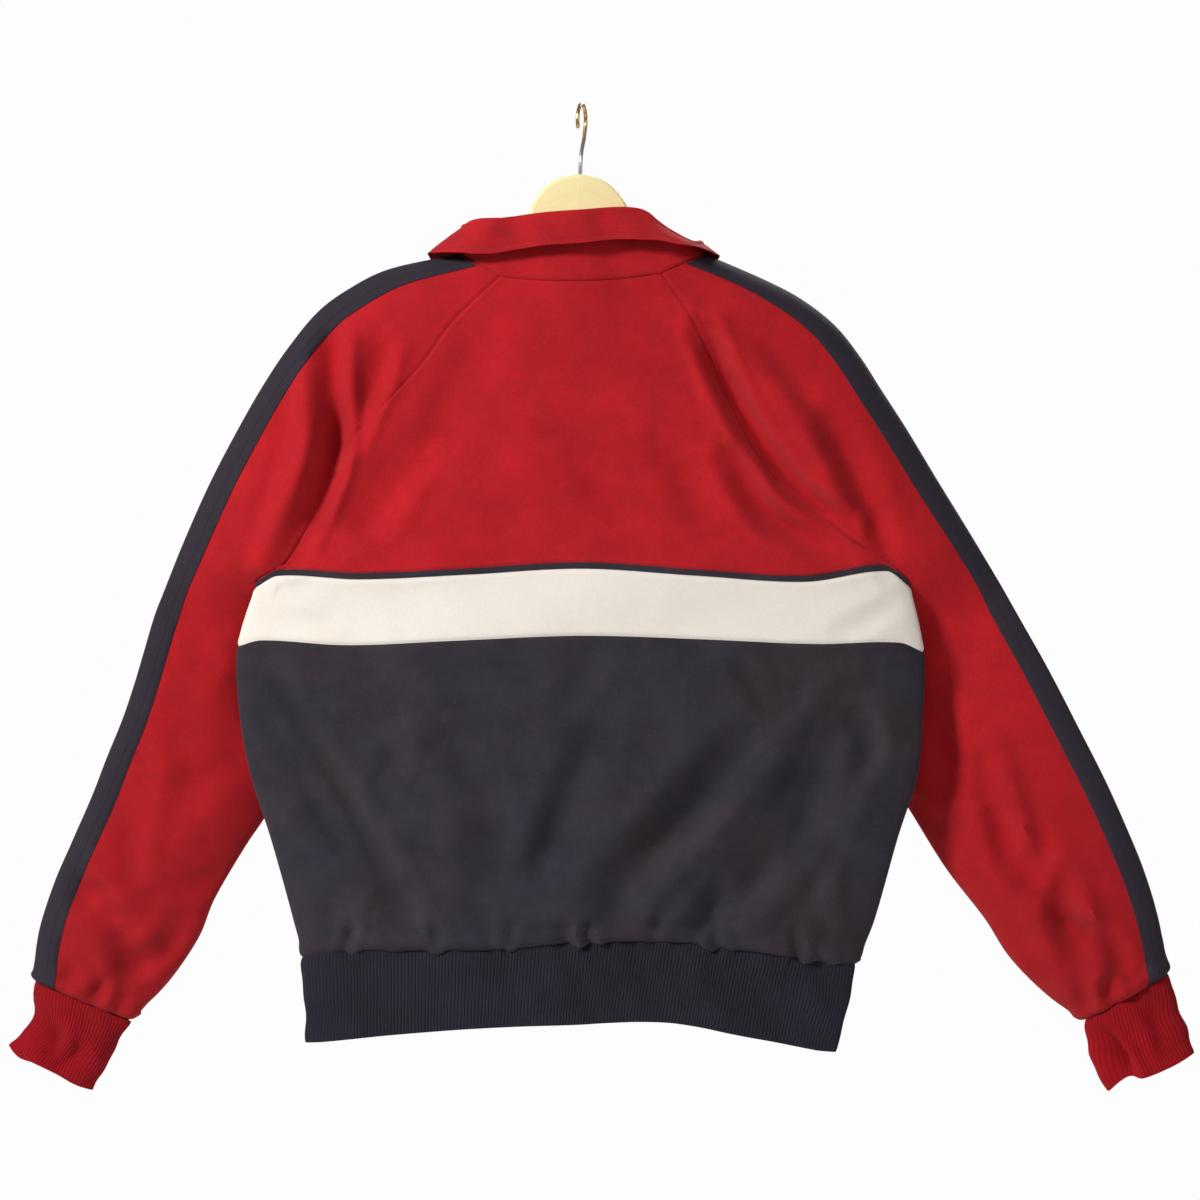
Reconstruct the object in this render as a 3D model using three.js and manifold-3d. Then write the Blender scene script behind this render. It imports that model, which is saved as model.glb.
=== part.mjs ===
// A raglan track jacket on a wooden hanger, hung by its hook and seen from the back along +Y.
// Millimetres, +Z up. The origin is the inside of the hook's crown, where a rail holds it.
// The jacket's back faces -Y and its zipped front faces +Y, so -X is the wearer's left.
import * as THREE from "three";
import { mergeVertices } from "three/addons/utils/BufferGeometryUtils.js";
import Module from "manifold-3d";

// Driving dimensions
const WALL = 1.6; // thickness of the jersey
const RIB_WALL = 2.4; // thickness of the knitted ribs
const HALF_SEAM = 0.15; // each piece stops this far short of a seam
const TAPE_HALF_WIDTH = 20; // the sleeve tape on each side of the overarm line
const TAPE_LIFT = 0.35; // clear height between sleeve and tape
const TAPE_WALL = 1;
const ZIP_EDGE = 9; // from the middle of the zip to the edge of a front
const CHAIN_HALF_WIDTH = 3;
const CHAIN_THICKNESS = 2.4;
const HANGER_TILT = THREE.MathUtils.degToRad(1.4); // the wearer's left end hangs higher
const HOOK_TURN = THREE.MathUtils.degToRad(76); // the hook's loop is turned away from the picture

// Sleeve stations from neck to cuff, one row each. The back edge (bx, by, bz) is the back raglan
// seam down to the underarm point and the inner fold below it. (ox, oy, oz) is the overarm edge.
// puff is the swell of the back and front faces, closed is 0 on an open strip and 1 on a tube.
const SLEEVE_COLUMNS = ["bx", "by", "bz", "ox", "oy", "oz", "puffBack", "puffFront", "closed"];
const SLEEVE_LEFT = [
  [-68, -30, -146, -102, 0, -126, 0, 0, 0],
  [-108, -30, -184, -162, 0, -139, 0, 0, 0],
  [-133, -31, -218, -197, 0, -156, 0, 0, 0],
  [-159, -32, -247, -224, 0, -176, 0, 0, 0],
  [-180, -32, -269, -248, 0, -205, 2, 2, 0],
  [-197, -31, -288, -267, 0, -233, 4, 4, 0.05],
  [-212, -29, -318, -287, 1, -267, 8, 8, 0.2],
  [-231, -25, -356, -314, 2, -318, 11, 12, 0.45],
  [-252, -19, -390, -337, 3, -369, 12, 16, 0.75],
  [-275, -11, -405, -354, 4, -411, 3, 18, 1],
  [-267, 15, -439, -363, 6, -434, 6, 17, 1],
  [-235, 30, -478, -373, 9, -467, 11, 16, 1],
  [-231, 38, -518, -381, 12, -493, 13, 16, 1],
  [-248, 38, -560, -391, 14, -522, 14, 16, 1],
  [-272, 35, -600, -405, 16, -556, 16, 17, 1],
  [-295, 31, -632, -417, 17, -587, 17, 18, 1],
  [-320, 27, -675, -435, 18, -628, 18, 18, 1],
  [-333, 25, -709, -450, 18, -663, 19, 19, 1],
  [-359, 22, -747, -463, 18, -705, 19, 19, 1],
  [-390, 20, -779, -467, 18, -745, 13, 13, 1],
];
const SLEEVE_RIGHT = [
  [66, -30, -143, 103, 0, -126, 0, 0, 0],
  [88, -30, -173, 154, 0, -148, 0, 0, 0],
  [105, -31, -206, 186, 0, -165, 0, 0, 0],
  [117, -32, -235, 214, 0, -187, 0, 0, 0],
  [133, -32, -268, 235, 0, -213, 2, 2, 0],
  [149, -31, -297, 253, 0, -241, 4, 4, 0.05],
  [171, -29, -324, 275, 1, -275, 8, 8, 0.2],
  [201, -25, -348, 301, 2, -318, 11, 12, 0.45],
  [238, -19, -376, 330, 3, -365, 12, 16, 0.75],
  [276, -11, -404, 354, 4, -405, 3, 18, 1],
  [268, 15, -439, 366, 6, -426, 6, 17, 1],
  [243, 30, -478, 377, 9, -445, 11, 16, 1],
  [239, 38, -518, 392, 12, -471, 13, 16, 1],
  [253, 38, -560, 406, 14, -497, 14, 16, 1],
  [275, 35, -596, 422, 16, -528, 16, 17, 1],
  [304, 31, -649, 445, 17, -573, 17, 18, 1],
  [334, 27, -692, 464, 18, -615, 18, 18, 1],
  [355, 25, -726, 479, 18, -652, 19, 19, 1],
  [394, 22, -758, 491, 18, -692, 19, 19, 1],
  [429, 20, -779, 500, 18, -739, 13, 13, 1],
];
const UNDERARM = 9; // station of the underarm point, where the open strip closes to a tube

// The front raglan seam from the neck to just above the underarm point, the same on both sides
const FRONT_SEAM = [
  { x: 84, y: 32, z: -186 },
  { x: 106, y: 31, z: -218 },
  { x: 127, y: 30, z: -243 },
  { x: 147, y: 29, z: -266 },
  { x: 166, y: 28, z: -288 },
  { x: 184, y: 27, z: -309 },
  { x: 203, y: 23, z: -333 },
  { x: 225, y: 16, z: -361 },
  { x: 250, y: 5, z: -387 },
];

// Levels of the body from the piping down to the hem. xl and xr are the side edges, zl and zr their
// heights, z the heights across the back at ACROSS, back and front the depths from the side edge.
const ACROSS = [-0.93, -0.68, -0.35, 0, 0.35, 0.68, 0.93];
const SIDE_DEPTH = -11; // the side edges lie this far towards the back
const LEVELS = {
  pipingTop: { xl: -275, zl: -405, xr: 276, zr: -404, back: 26, front: 34,
    z: [-396, -399, -395, -390, -396, -401, -392] },
  bandTop: { xl: -277, zl: -409, xr: 278, zr: -408, back: 26, front: 34,
    z: [-399.4, -402.4, -398.4, -393.4, -399.4, -404.4, -395.4] },
  bandBottom: { xl: -292, zl: -459, xr: 290, zr: -464, back: 27, front: 36,
    z: [-454, -458, -454, -450, -453, -457, -456] },
  chest: { xl: -291, zl: -510, xr: 289, zr: -516, back: 27, front: 37,
    z: [-507, -508, -506, -503, -505, -508, -511] },
  waist: { xl: -282, zl: -564, xr: 285, zr: -567, back: 28, front: 38,
    z: [-563, -562, -560, -558, -560, -562, -565] },
  hip: { xl: -263, zl: -625, xr: 268, zr: -621, back: 29, front: 38,
    z: [-624, -622, -621, -619, -620, -622, -621] },
  blouse: { xl: -245, zl: -690, xr: 249, zr: -688, back: 28, front: 36,
    z: [-688, -686, -685, -680, -680, -686, -689] },
  hemSeam: { xl: -238, zl: -723, xr: 234, zr: -728, back: 20, front: 30,
    z: [-719, -716, -716, -709, -709, -720, -727] },
  hem: { xl: -234, zl: -795, xr: 216, zr: -803, back: 18, front: 28,
    z: [-794, -788, -782, -779, -777, -790, -801] },
};

// Largest folds as soft troughs (positive depth) and ridges (negative), each along three points
const FOLD_COLUMNS = ["x0", "z0", "x1", "z1", "x2", "z2", "depth", "width"];
const BACK_FOLDS = [
  [-211, -196, -211, -300, -240, -378, 9, 15], // hanger end to the left armhole
  [-226, -250, -238, -330, -262, -390, -5, 16],
  [-164, -205, -180, -250, -200, -290, 4, 14],
  [96, -190, 143, -288, 215, -357, 8, 12], // along the right raglan seam
  [112, -196, 172, -262, 222, -340, -5, 15],
  [134, -314, 170, -356, 222, -382, 5, 14],
  [212, -272, 238, -330, 262, -388, 4, 15],
  [-274, -470, -206, -585, -150, -684, 5, 20],
  [-112, -548, -78, -600, -68, -684, 5, 20],
  [8, -545, -20, -610, -50, -668, 5, 20],
  [140, -543, 62, -630, 24, -684, 8, 20],
  [236, -512, 190, -590, 120, -690, 7, 20],
  [245, -560, 212, -620, 185, -692, 5, 18],
];
const FRONT_FOLDS = [
  [-205, -205, -196, -290, -236, -372, 8, 17],
  [200, -200, 190, -290, 232, -370, 8, 17],
  [-250, -480, -170, -590, -120, -690, 6, 22],
  [236, -500, 160, -600, 110, -690, 6, 22],
  [-120, -420, -90, -520, -95, -620, 5, 22],
  [110, -430, 84, -530, 70, -640, 5, 22],
];
const SLEEVE_BACK_FOLDS = [
  [-436, -640, -425, -655, -410, -672, 7, 16],
  [-400, -700, -388, -722, -376, -748, 6, 16],
  [-388, -545, -398, -590, -386, -650, 5, 16],
  [300, -500, 312, -540, 318, -575, 5, 16],
  [352, -560, 366, -610, 372, -645, -6, 16],
  [372, -622, 368, -660, 366, -690, 5, 15],
  [395, -664, 415, -700, 440, -712, 9, 18],
  [436, -690, 457, -712, 470, -730, 8, 16],
];
const SLEEVE_FRONT_FOLDS = [
  [-330, -480, -345, -540, -352, -600, 6, 18],
  [-380, -640, -392, -680, -400, -720, 7, 18],
  [330, -480, 350, -540, 366, -600, 6, 18],
  [400, -630, 420, -680, 436, -716, 7, 18],
];

// The collar at stations round the neck: 0 is the middle of the back, 1 the back raglan seam, 2 the
// shoulder, 3 the front raglan seam, 4 the zip, minus on the left. rise and lean take the neck seam
// to the fold, out, drop and slide the fold to the free edge of the fall.
const COLLAR_COLUMNS = ["place", "rise", "lean", "out", "drop", "slide"];
const COLLAR = [
  [-4, 26, 3, 15, 78, -46],
  [-3.6, 27, 2, 17, 72, -34],
  [-3.2, 28, -1, 21, 56, -14],
  [-2.7, 38, -8, 29, 37, 0],
  [-2.3, 38, -12, 36, 31, 0],
  [-2, 27, -14, 39, 25, 0],
  [-1.75, 30, -13, 37, 24, 0],
  [-1.35, 43, -7, 25, 27, 0],
  [-0.85, 53, -3, 16, 29, 0],
  [-0.4, 57, -1, 14, 28, 0],
  [0, 59, -1, 13, 27, 0],
  [0.4, 61, -1, 13, 28, 0],
  [0.85, 58, -4, 15, 28, 0],
  [1.35, 45, -10, 21, 26, 0],
  [1.75, 33, -17, 28, 22, 0],
  [2, 27, -19, 34, 24, 0],
  [2.3, 38, -14, 36, 31, 0],
  [2.7, 38, -9, 30, 37, 0],
  [3.2, 28, -1, 21, 56, 14],
  [3.6, 27, 2, 17, 72, 34],
  [4, 26, 3, 15, 78, 46],
];
const COLLAR_FOLD_RADIUS = 3;
const NECK_HALF_WIDTH = 98;
const NECK_HALF_DEPTH = 36;

// Cuffs as rings from the seam to the open end: inner and outer edge, middle depth and half depth
const CUFF_COLUMNS = ["ix", "iz", "ox", "oz", "y", "half"];
const CUFF_LEFT = [
  [-390, -779.4, -467, -745.4, 19, 12],
  [-396, -799, -469, -776, 19, 13],
  [-407, -819, -482, -793, 19, 13],
  [-418, -838, -489, -800, 18, 12],
];
const CUFF_RIGHT = [
  [429, -779.4, 500, -739.4, 19, 12],
  [433, -796, 508, -768, 19, 13],
  [438, -817, 516, -790, 19, 13],
  [449, -839, 523, -806, 18, 12],
];

const COLOURS = {
  red: 0xa82430, cuff: 0x8c1423, white: 0xece2d8, navy: 0x2b2a36, rib: 0x232132,
  wood: 0xecd4a0, metal: 0xcfae6a, zip: 0x9c9ca2,
};

const { cos, sin, abs, sqrt, sign, PI, max, min, hypot } = Math;
const mix = (a, b, t) => a + (b - a) * t;
const clamp01 = (t) => max(0, min(1, t));
const vec = (x, y, z) => new THREE.Vector3(x, y, z);
const named = (columns, rows) =>
  rows.map((row) => Object.fromEntries(columns.map((name, i) => [name, row[i]])));

// Smooth value of a table column at a fractional row, through every row
function smoothAt(rows, key, at) {
  const last = rows.length - 1;
  const i = min(Math.floor(at), last - 1);
  const t = at - i;
  const p1 = rows[i][key];
  const p2 = rows[i + 1][key];
  const p0 = i > 0 ? rows[i - 1][key] : 2 * p1 - p2;
  const p3 = i + 2 <= last ? rows[i + 2][key] : 2 * p2 - p1;
  const bend = 2 * p0 - 5 * p1 + 4 * p2 - p3;
  return p1 + 0.5 * t * (p2 - p0 + t * (bend + t * (3 * (p1 - p2) + p3 - p0)));
}

// Smooth value of a column at a place given by the table's uneven place column
function smoothAlong(rows, key, place) {
  let i = 0;
  while (i < rows.length - 2 && place > rows[i + 1].place) {
    i += 1;
  }
  const slopeAt = (k) => {
    const [a, b] = [rows[max(0, k - 1)], rows[min(rows.length - 1, k + 1)]];
    return (b[key] - a[key]) / (b.place - a.place);
  };
  const span = rows[i + 1].place - rows[i].place;
  const t = (place - rows[i].place) / span;
  const [v0, v1, s0, s1] = [rows[i][key], rows[i + 1][key], slopeAt(i) * span, slopeAt(i + 1) * span];
  return v0 + t * (s0 + t * (3 * (v1 - v0) - 2 * s0 - s1 + t * (2 * (v0 - v1) + s0 + s1)));
}

const sleeves = {
  left: named(SLEEVE_COLUMNS, SLEEVE_LEFT),
  right: named(SLEEVE_COLUMNS, SLEEVE_RIGHT),
};
const sideSign = { left: -1, right: 1 };
for (const side of ["left", "right"]) {
  sleeves[side].forEach((row, k) => {
    const seam = FRONT_SEAM[k];
    row.fx = seam ? sideSign[side] * seam.x : row.bx;
    row.fy = seam ? seam.y : row.by;
    row.fz = seam ? seam.z : row.bz;
  });
}

// Sum of the folds at a place on a face seen square on
function foldsAt(folds, x, z) {
  let total = 0;
  for (const fold of folds) {
    let nearest = Infinity;
    let along = 0;
    for (const leg of [0, 1]) {
      const [ax, az, bx, bz] = leg
        ? [fold.x1, fold.z1, fold.x2, fold.z2]
        : [fold.x0, fold.z0, fold.x1, fold.z1];
      const t = clamp01(
        ((x - ax) * (bx - ax) + (z - az) * (bz - az)) / ((bx - ax) ** 2 + (bz - az) ** 2),
      );
      const distance = hypot(x - mix(ax, bx, t), z - mix(az, bz, t));
      if (distance < nearest) {
        nearest = distance;
        along = (leg + t) / 2;
      }
    }
    const fade = sqrt(max(0, sin(PI * (0.06 + 0.88 * along))));
    total += fold.depth * fade * Math.exp(-((nearest / fold.width) ** 2));
  }
  return total;
}
const backFolds = named(FOLD_COLUMNS, BACK_FOLDS);
const frontFolds = named(FOLD_COLUMNS, FRONT_FOLDS);
const sleeveBackFolds = backFolds.concat(named(FOLD_COLUMNS, SLEEVE_BACK_FOLDS));
const sleeveFrontFolds = frontFolds.concat(named(FOLD_COLUMNS, SLEEVE_FRONT_FOLDS));

// A place on a sleeve and the way into its hollow. around runs from 0 at the back edge over 1 at
// the overarm edge to 2 at the front edge.
function sleevePoint(side, station, around) {
  const rows = sleeves[side];
  const at = (key) => smoothAt(rows, key, station);
  const isFront = around > 1;
  const t = isFront ? 2 - around : around;
  const edge = isFront ? "f" : "b";
  const [ex, ey, ez] = [at(edge + "x"), at(edge + "y"), at(edge + "z")];
  const [ox, oy, oz] = [at("ox"), at("oy"), at("oz")];
  const closed = clamp01(at("closed"));
  const puff = at(isFront ? "puffFront" : "puffBack") * (isFront ? 1 : -1);
  const x = mix(ex, ox, t);
  const z = mix(ez, oz, t);
  const openDepth = mix(oy, ey, sqrt(max(0, 1 - t * t)));
  const closedDepth = mix(ey, oy, t) + puff * sqrt(max(0, 1 - (2 * t - 1) ** 2));
  const folds = foldsAt(isFront ? sleeveFrontFolds : sleeveBackFolds, x, z);
  const keep = (1 - t ** 4) * (1 - closed * (1 - t) ** 6);
  const y = mix(openDepth, closedDepth, closed) + (isFront ? -1 : 1) * folds * keep;
  // Into the hollow: across the cloth in the middle of a face, along the section at its edges
  const length = hypot(ox - ex, oz - ez);
  const [ax, az] = [(ex - ox) / length, (ez - oz) / length];
  const atOverarm = t ** 5;
  const ring = station > UNDERARM ? clamp01((station - UNDERARM) * 2) : 0;
  const atInner = -((1 - t) ** 5) * ring;
  const lift = (1 - t) ** 5 * closed * (1 - ring);
  const inward = vec(
    ax * (atOverarm + atInner),
    (isFront ? -1 : 1) * (1 - atOverarm) * (1 - (1 - t) ** 5 * closed),
    az * (atOverarm + atInner) + lift,
  ).normalize();
  return { at: vec(x, y, z), inward };
}

const levels = Object.values(LEVELS).map((level) => ({ ...level }));
const levelIndex = Object.fromEntries(Object.keys(LEVELS).map((name, i) => [name, i]));
for (const level of levels) {
  level.zs = [level.zl, ...level.z, level.zr];
}
const ACROSS_ALL = [-1, ...ACROSS, 1];

// Height of a level at a share u of its half width
function levelHeight(level, u) {
  let i = 0;
  while (i < ACROSS_ALL.length - 2 && u > ACROSS_ALL[i + 1]) {
    i += 1;
  }
  const t = (u - ACROSS_ALL[i]) / (ACROSS_ALL[i + 1] - ACROSS_ALL[i]);
  const heights = level.zs.map((z) => ({ z }));
  return smoothAt(heights, "z", i + t);
}

const lens = (u) => sqrt(max(0, 1 - u * u));
const quarterTurn = (v) => sin((PI / 2) * v);

// A place on the body below the piping. v runs from -1 at the left side to 1 at the right, on a
// front from the side to the zip at 0.
function bodyPoint(face, v, level) {
  const u = quarterTurn(v);
  const heights = levels.map((row) => ({ z: levelHeight(row, u) }));
  const z = smoothAt(heights, "z", level);
  const xl = smoothAt(levels, "xl", level);
  const xr = smoothAt(levels, "xr", level);
  const depth = smoothAt(levels, face === "back" ? "back" : "front", level);
  const way = face === "back" ? -1 : 1;
  const zipX = face === "frontLeft" ? -ZIP_EDGE : ZIP_EDGE;
  let x = mix(xl, xr, (u + 1) / 2);
  if (face === "frontLeft") {
    x = zipX + (zipX - xl) * u;
  } else if (face === "frontRight") {
    x = zipX + (xr - zipX) * u;
  }
  const folds = foldsAt(way < 0 ? backFolds : frontFolds, x, z) * (1 - u ** 6);
  const y = SIDE_DEPTH + way * (depth * lens(u) - folds);
  const toSide = abs(u) ** 5;
  const inward = vec(-sign(u) * toSide, -way * (1 - toSide), 0);
  if (level === 0 && abs(v) === 1) {
    inward.set(0, 0, 1);
  }
  return { at: vec(x, y, z), inward: inward.normalize() };
}

const NECK_SAG = 5;
const FRONT_NECK = -226; // height of the neck seam at the zip

// A place on the body above the piping, between the raglan seams. row runs from 0 at the neck to
// UNDERARM at the piping.
function upperPoint(face, v, row) {
  const u = quarterTurn(v);
  const isBack = face === "back";
  const edge = isBack ? "b" : "f";
  const way = isBack ? -1 : 1;
  const corner = (side) => {
    const at = (axis) => smoothAt(sleeves[side], edge + axis, row);
    return vec(at("x"), at("y"), at("z"));
  };
  const down = row / UNDERARM;
  const closed = clamp01(smoothAt(sleeves.left, "closed", row));
  const below = bodyPoint(face, v, 0);
  const shape = mix((1 - u * u) ** 2, lens(u), closed);
  let x, z, edgeY;
  if (isBack) {
    const [left, right] = [corner("left"), corner("right")];
    const side = (u + 1) / 2;
    x = mix(left.x, right.x, side);
    const sag = -NECK_SAG * (1 - u * u) * (1 - down);
    const dip = below.at.z - mix(levels[0].zl, levels[0].zr, side);
    z = mix(left.z, right.z, side) + sag + dip * down ** 3;
    edgeY = mix(left.y, right.y, side);
  } else {
    const side = face === "frontLeft" ? "left" : "right";
    const seam = corner(side);
    const zipX = sideSign[side] * ZIP_EDGE;
    x = zipX + (seam.x - zipX) * abs(u);
    const dip = below.at.z - sleeves[side][UNDERARM].bz;
    z = seam.z + (FRONT_NECK - FRONT_SEAM[0].z) * (1 - u * u) * (1 - down) ** 1.3 + dip * down ** 3;
    edgeY = seam.y;
  }
  const middleY = SIDE_DEPTH + way * (isBack ? levels[0].back : levels[0].front);
  const folds = foldsAt(isBack ? backFolds : frontFolds, x, z) * (1 - closed * u ** 6);
  const y = mix(edgeY, middleY - (isBack ? 0 : 2 * (1 - down)), shape) - way * folds;
  const toSide = abs(u) ** 5 * closed;
  const inward = vec(0, -way * (1 - toSide), toSide).normalize();
  return { at: vec(x, y, z), inward: row === UNDERARM ? below.inward : inward };
}

// A closed wall through rows of outer places and the ways inward. seams says which edges stop
// short: top, bottom, first, last. A tube joins its last column to its first from tubeFrom on.
function wall(grid, thickness, { seams = {}, tubeFrom = Infinity, push = 0 } = {}) {
  const rows = grid.length;
  const columns = grid[0].length;
  const places = grid.map((row) => row.map((p) => p.at.clone().addScaledVector(p.inward, -push)));
  const shifts = places.map((row) => row.map(() => vec(0, 0, 0)));
  const pull = (i, j, towards) =>
    shifts[i][j].add(towards.clone().sub(places[i][j]).setLength(HALF_SEAM));
  for (let i = 0; i < rows; i++) {
    for (let j = 0; j < columns; j++) {
      if (i === 0 && seams.top) pull(i, j, places[1][j]);
      if (i === rows - 1 && seams.bottom) pull(i, j, places[i - 1][j]);
      if (j === 0 && seams.first && i < tubeFrom) pull(i, j, places[i][1]);
      if (j === columns - 1 && seams.last && i < tubeFrom) pull(i, j, places[i][j - 1]);
    }
  }
  const outer = places.map((row, i) => row.map((p, j) => p.clone().add(shifts[i][j])));
  const inner = outer.map((row, i) =>
    row.map((p, j) => p.clone().addScaledVector(grid[i][j].inward, thickness)),
  );
  const vertices = [];
  const index = { outer: [], inner: [] };
  for (const [key, points] of [["outer", outer], ["inner", inner]]) {
    points.forEach((row, i) => {
      const isTube = i >= tubeFrom;
      const numbers = (isTube ? row.slice(0, -1) : row).map((p) => {
        vertices.push(p.x, p.y, p.z);
        return vertices.length / 3 - 1;
      });
      index[key].push(isTube ? [...numbers, numbers[0]] : numbers);
    });
  }
  const faces = [];
  const quad = (a, b, c, d) => faces.push(a, b, c, a, c, d);
  for (let i = 0; i < rows - 1; i++) {
    for (let j = 0; j < columns - 1; j++) {
      const [o, n] = [index.outer, index.inner];
      quad(o[i][j], o[i][j + 1], o[i + 1][j + 1], o[i + 1][j]);
      quad(n[i][j], n[i + 1][j], n[i + 1][j + 1], n[i][j + 1]);
    }
    if (i < tubeFrom) {
      const end = columns - 1;
      quad(index.outer[i][0], index.outer[i + 1][0], index.inner[i + 1][0], index.inner[i][0]);
      quad(index.outer[i][end], index.inner[i][end], index.inner[i + 1][end], index.outer[i + 1][end]);
    }
  }
  for (let j = 0; j < columns - 1; j++) {
    const low = rows - 1;
    quad(index.outer[0][j], index.inner[0][j], index.inner[0][j + 1], index.outer[0][j + 1]);
    quad(index.outer[low][j], index.outer[low][j + 1], index.inner[low][j + 1], index.inner[low][j]);
  }
  const geometry = new THREE.BufferGeometry();
  geometry.setAttribute("position", new THREE.Float32BufferAttribute(vertices, 3));
  geometry.setIndex(faces);
  return facingOut(geometry);
}

// Turns every face round when the closed surface encloses a negative volume
function facingOut(geometry) {
  const p = geometry.getAttribute("position");
  const index = geometry.index.array;
  const [a, b, c] = [vec(), vec(), vec()];
  let volume = 0;
  for (let i = 0; i < index.length; i += 3) {
    a.fromBufferAttribute(p, index[i]);
    b.fromBufferAttribute(p, index[i + 1]);
    c.fromBufferAttribute(p, index[i + 2]);
    volume += a.dot(b.cross(c));
  }
  if (volume < 0) {
    for (let i = 0; i < index.length; i += 3) {
      [index[i + 1], index[i + 2]] = [index[i + 2], index[i + 1]];
    }
  }
  geometry.computeVertexNormals();
  return geometry;
}

const jacket = new THREE.Group();
function add(name, geometry, colour, roughness = 0.75, metalness = 0) {
  const material = new THREE.MeshStandardMaterial({ color: colour, roughness, metalness });
  const mesh = new THREE.Mesh(geometry, material);
  mesh.name = name;
  jacket.add(mesh);
  return mesh;
}
const steps = (from, to, count) =>
  Array.from({ length: count + 1 }, (_, i) => mix(from, to, i / count));

// Body pieces between levels
const BACK_COLUMNS = steps(-1, 1, 16);
const FRONT_COLUMNS = { frontLeft: steps(0, -1, 8), frontRight: steps(0, 1, 8) }; // from the zip
const columnsOf = (face) => (face === "back" ? BACK_COLUMNS : FRONT_COLUMNS[face]);
const suffix = { back: "", frontLeft: "_left", frontRight: "_right" };
const prefix = { back: "back", frontLeft: "front", frontRight: "front" };

function bodyPiece(face, part, levelRows, colour, thickness, seams) {
  const grid = levelRows.map((level) => columnsOf(face).map((v) => bodyPoint(face, v, level)));
  add(`${prefix[face]}_${part}${suffix[face]}`, wall(grid, thickness, { seams }), colour);
}

const allSeams = { top: true, bottom: true, first: true, last: true };
const UPPER_ROWS = 14;
const NECK_ROW = 0.07; // the sleeve tapes start here, clear of the collar
const upperRows = [0, NECK_ROW, ...steps(0, UNDERARM, UPPER_ROWS).slice(1)];
for (const face of ["back", "frontLeft", "frontRight"]) {
  const grid = upperRows.map((row) => columnsOf(face).map((v) => upperPoint(face, v, row)));
  add(`${prefix[face]}_yoke${suffix[face]}`, wall(grid, WALL, { seams: allSeams }), COLOURS.red);
  const { bandTop, bandBottom, hemSeam } = levelIndex;
  bodyPiece(face, "piping", steps(0, bandTop, 1), COLOURS.navy, WALL, allSeams);
  bodyPiece(face, "band", steps(bandTop, bandBottom, 2), COLOURS.white, WALL, allSeams);
  bodyPiece(face, "lower", steps(bandBottom, hemSeam, 10), COLOURS.navy, WALL, allSeams);
}

// Hem rib in one piece from zip to zip round the back
const ribRows = steps(levelIndex.hemSeam, levelIndex.hem, 3);
const ribGrid = ribRows.map((level) => [
  ...FRONT_COLUMNS.frontLeft.map((v) => bodyPoint("frontLeft", v, level)),
  ...BACK_COLUMNS.slice(1).map((v) => bodyPoint("back", v, level)),
  ...[...FRONT_COLUMNS.frontRight].reverse().slice(1).map((v) => bodyPoint("frontRight", v, level)),
]);
add("hem_rib", wall(ribGrid, RIB_WALL, { seams: { top: true, first: true, last: true } }), COLOURS.rib);

// Sleeves, each with a tape laid over the overarm line
const FACE_COLUMNS = 6;
const TAPE_COLUMNS = 3;
function sleeveColumns(side, station) {
  const rows = sleeves[side];
  const at = (key) => smoothAt(rows, key, station);
  const face = (edge) => {
    const length = hypot(at("ox") - at(edge + "x"), at("oz") - at(edge + "z"));
    const tapeEdge = max(0.5, 1 - TAPE_HALF_WIDTH / length);
    const inner = steps(0, 1, FACE_COLUMNS).map((s) => tapeEdge * (1 - cos((PI / 2) * s)));
    const outer = steps(0, 1, TAPE_COLUMNS).map((s) => mix(tapeEdge, 1, quarterTurn(s)));
    return [...inner, ...outer.slice(1)];
  };
  const back = face("b");
  const front = face("f").map((t) => 2 - t).reverse();
  return [...back, ...front.slice(1)];
}
const LOWER_ROWS = 14;
const UNDERARM_CLEAR = 2.4; // the closed end of the armhole slit stands this clear of the body
function sleevePieces(side) {
  const lastStation = sleeves[side].length - 1;
  const stations = [...upperRows, ...steps(UNDERARM, lastStation, LOWER_ROWS).slice(1)];
  const grid = stations.map((s) => sleeveColumns(side, s).map((t) => sleevePoint(side, s, t)));
  const tubeFrom = upperRows.length - 1;
  for (const end of [grid[tubeFrom][0], grid[tubeFrom].at(-1)]) {
    end.at.add(vec(sideSign[side] * UNDERARM_CLEAR, UNDERARM_CLEAR, UNDERARM_CLEAR));
  }
  add(`sleeve_${side}`, wall(grid, WALL, { seams: allSeams, tubeFrom }), COLOURS.red);
  const first = FACE_COLUMNS;
  const last = first + 2 * TAPE_COLUMNS;
  const tape = grid.slice(1).map((row) => row.slice(first, last + 1));
  const options = { push: TAPE_LIFT + TAPE_WALL, seams: { bottom: true } };
  add(`sleeve_tape_${side}`, wall(tape, TAPE_WALL, options), COLOURS.navy);
}
sleevePieces("left");
sleevePieces("right");

// Ribbed cuffs
const CUFF_FLATNESS = 4; // turns the wall's direction across the flat faces
function cuff(side, table) {
  const rows = named(CUFF_COLUMNS, table);
  const grid = steps(0, rows.length - 1, 4).map((s) => {
    const at = (key) => smoothAt(rows, key, s);
    return steps(0, 2 * PI, 20).map((angle) => {
      const across = (1 - cos(angle)) / 2;
      const run = vec(at("ox") - at("ix"), 0, at("oz") - at("iz"));
      const inward = run.multiplyScalar(cos(angle));
      inward.y = at("half") * sin(angle) * CUFF_FLATNESS;
      const x = mix(at("ix"), at("ox"), across);
      const z = mix(at("iz"), at("oz"), across);
      return { at: vec(x, at("y") - at("half") * sin(angle), z), inward: inward.normalize() };
    });
  });
  add(`cuff_${side}`, wall(grid, RIB_WALL, { tubeFrom: 0 }), COLOURS.cuff);
}
cuff("left", CUFF_LEFT);
cuff("right", CUFF_RIGHT);

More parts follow.
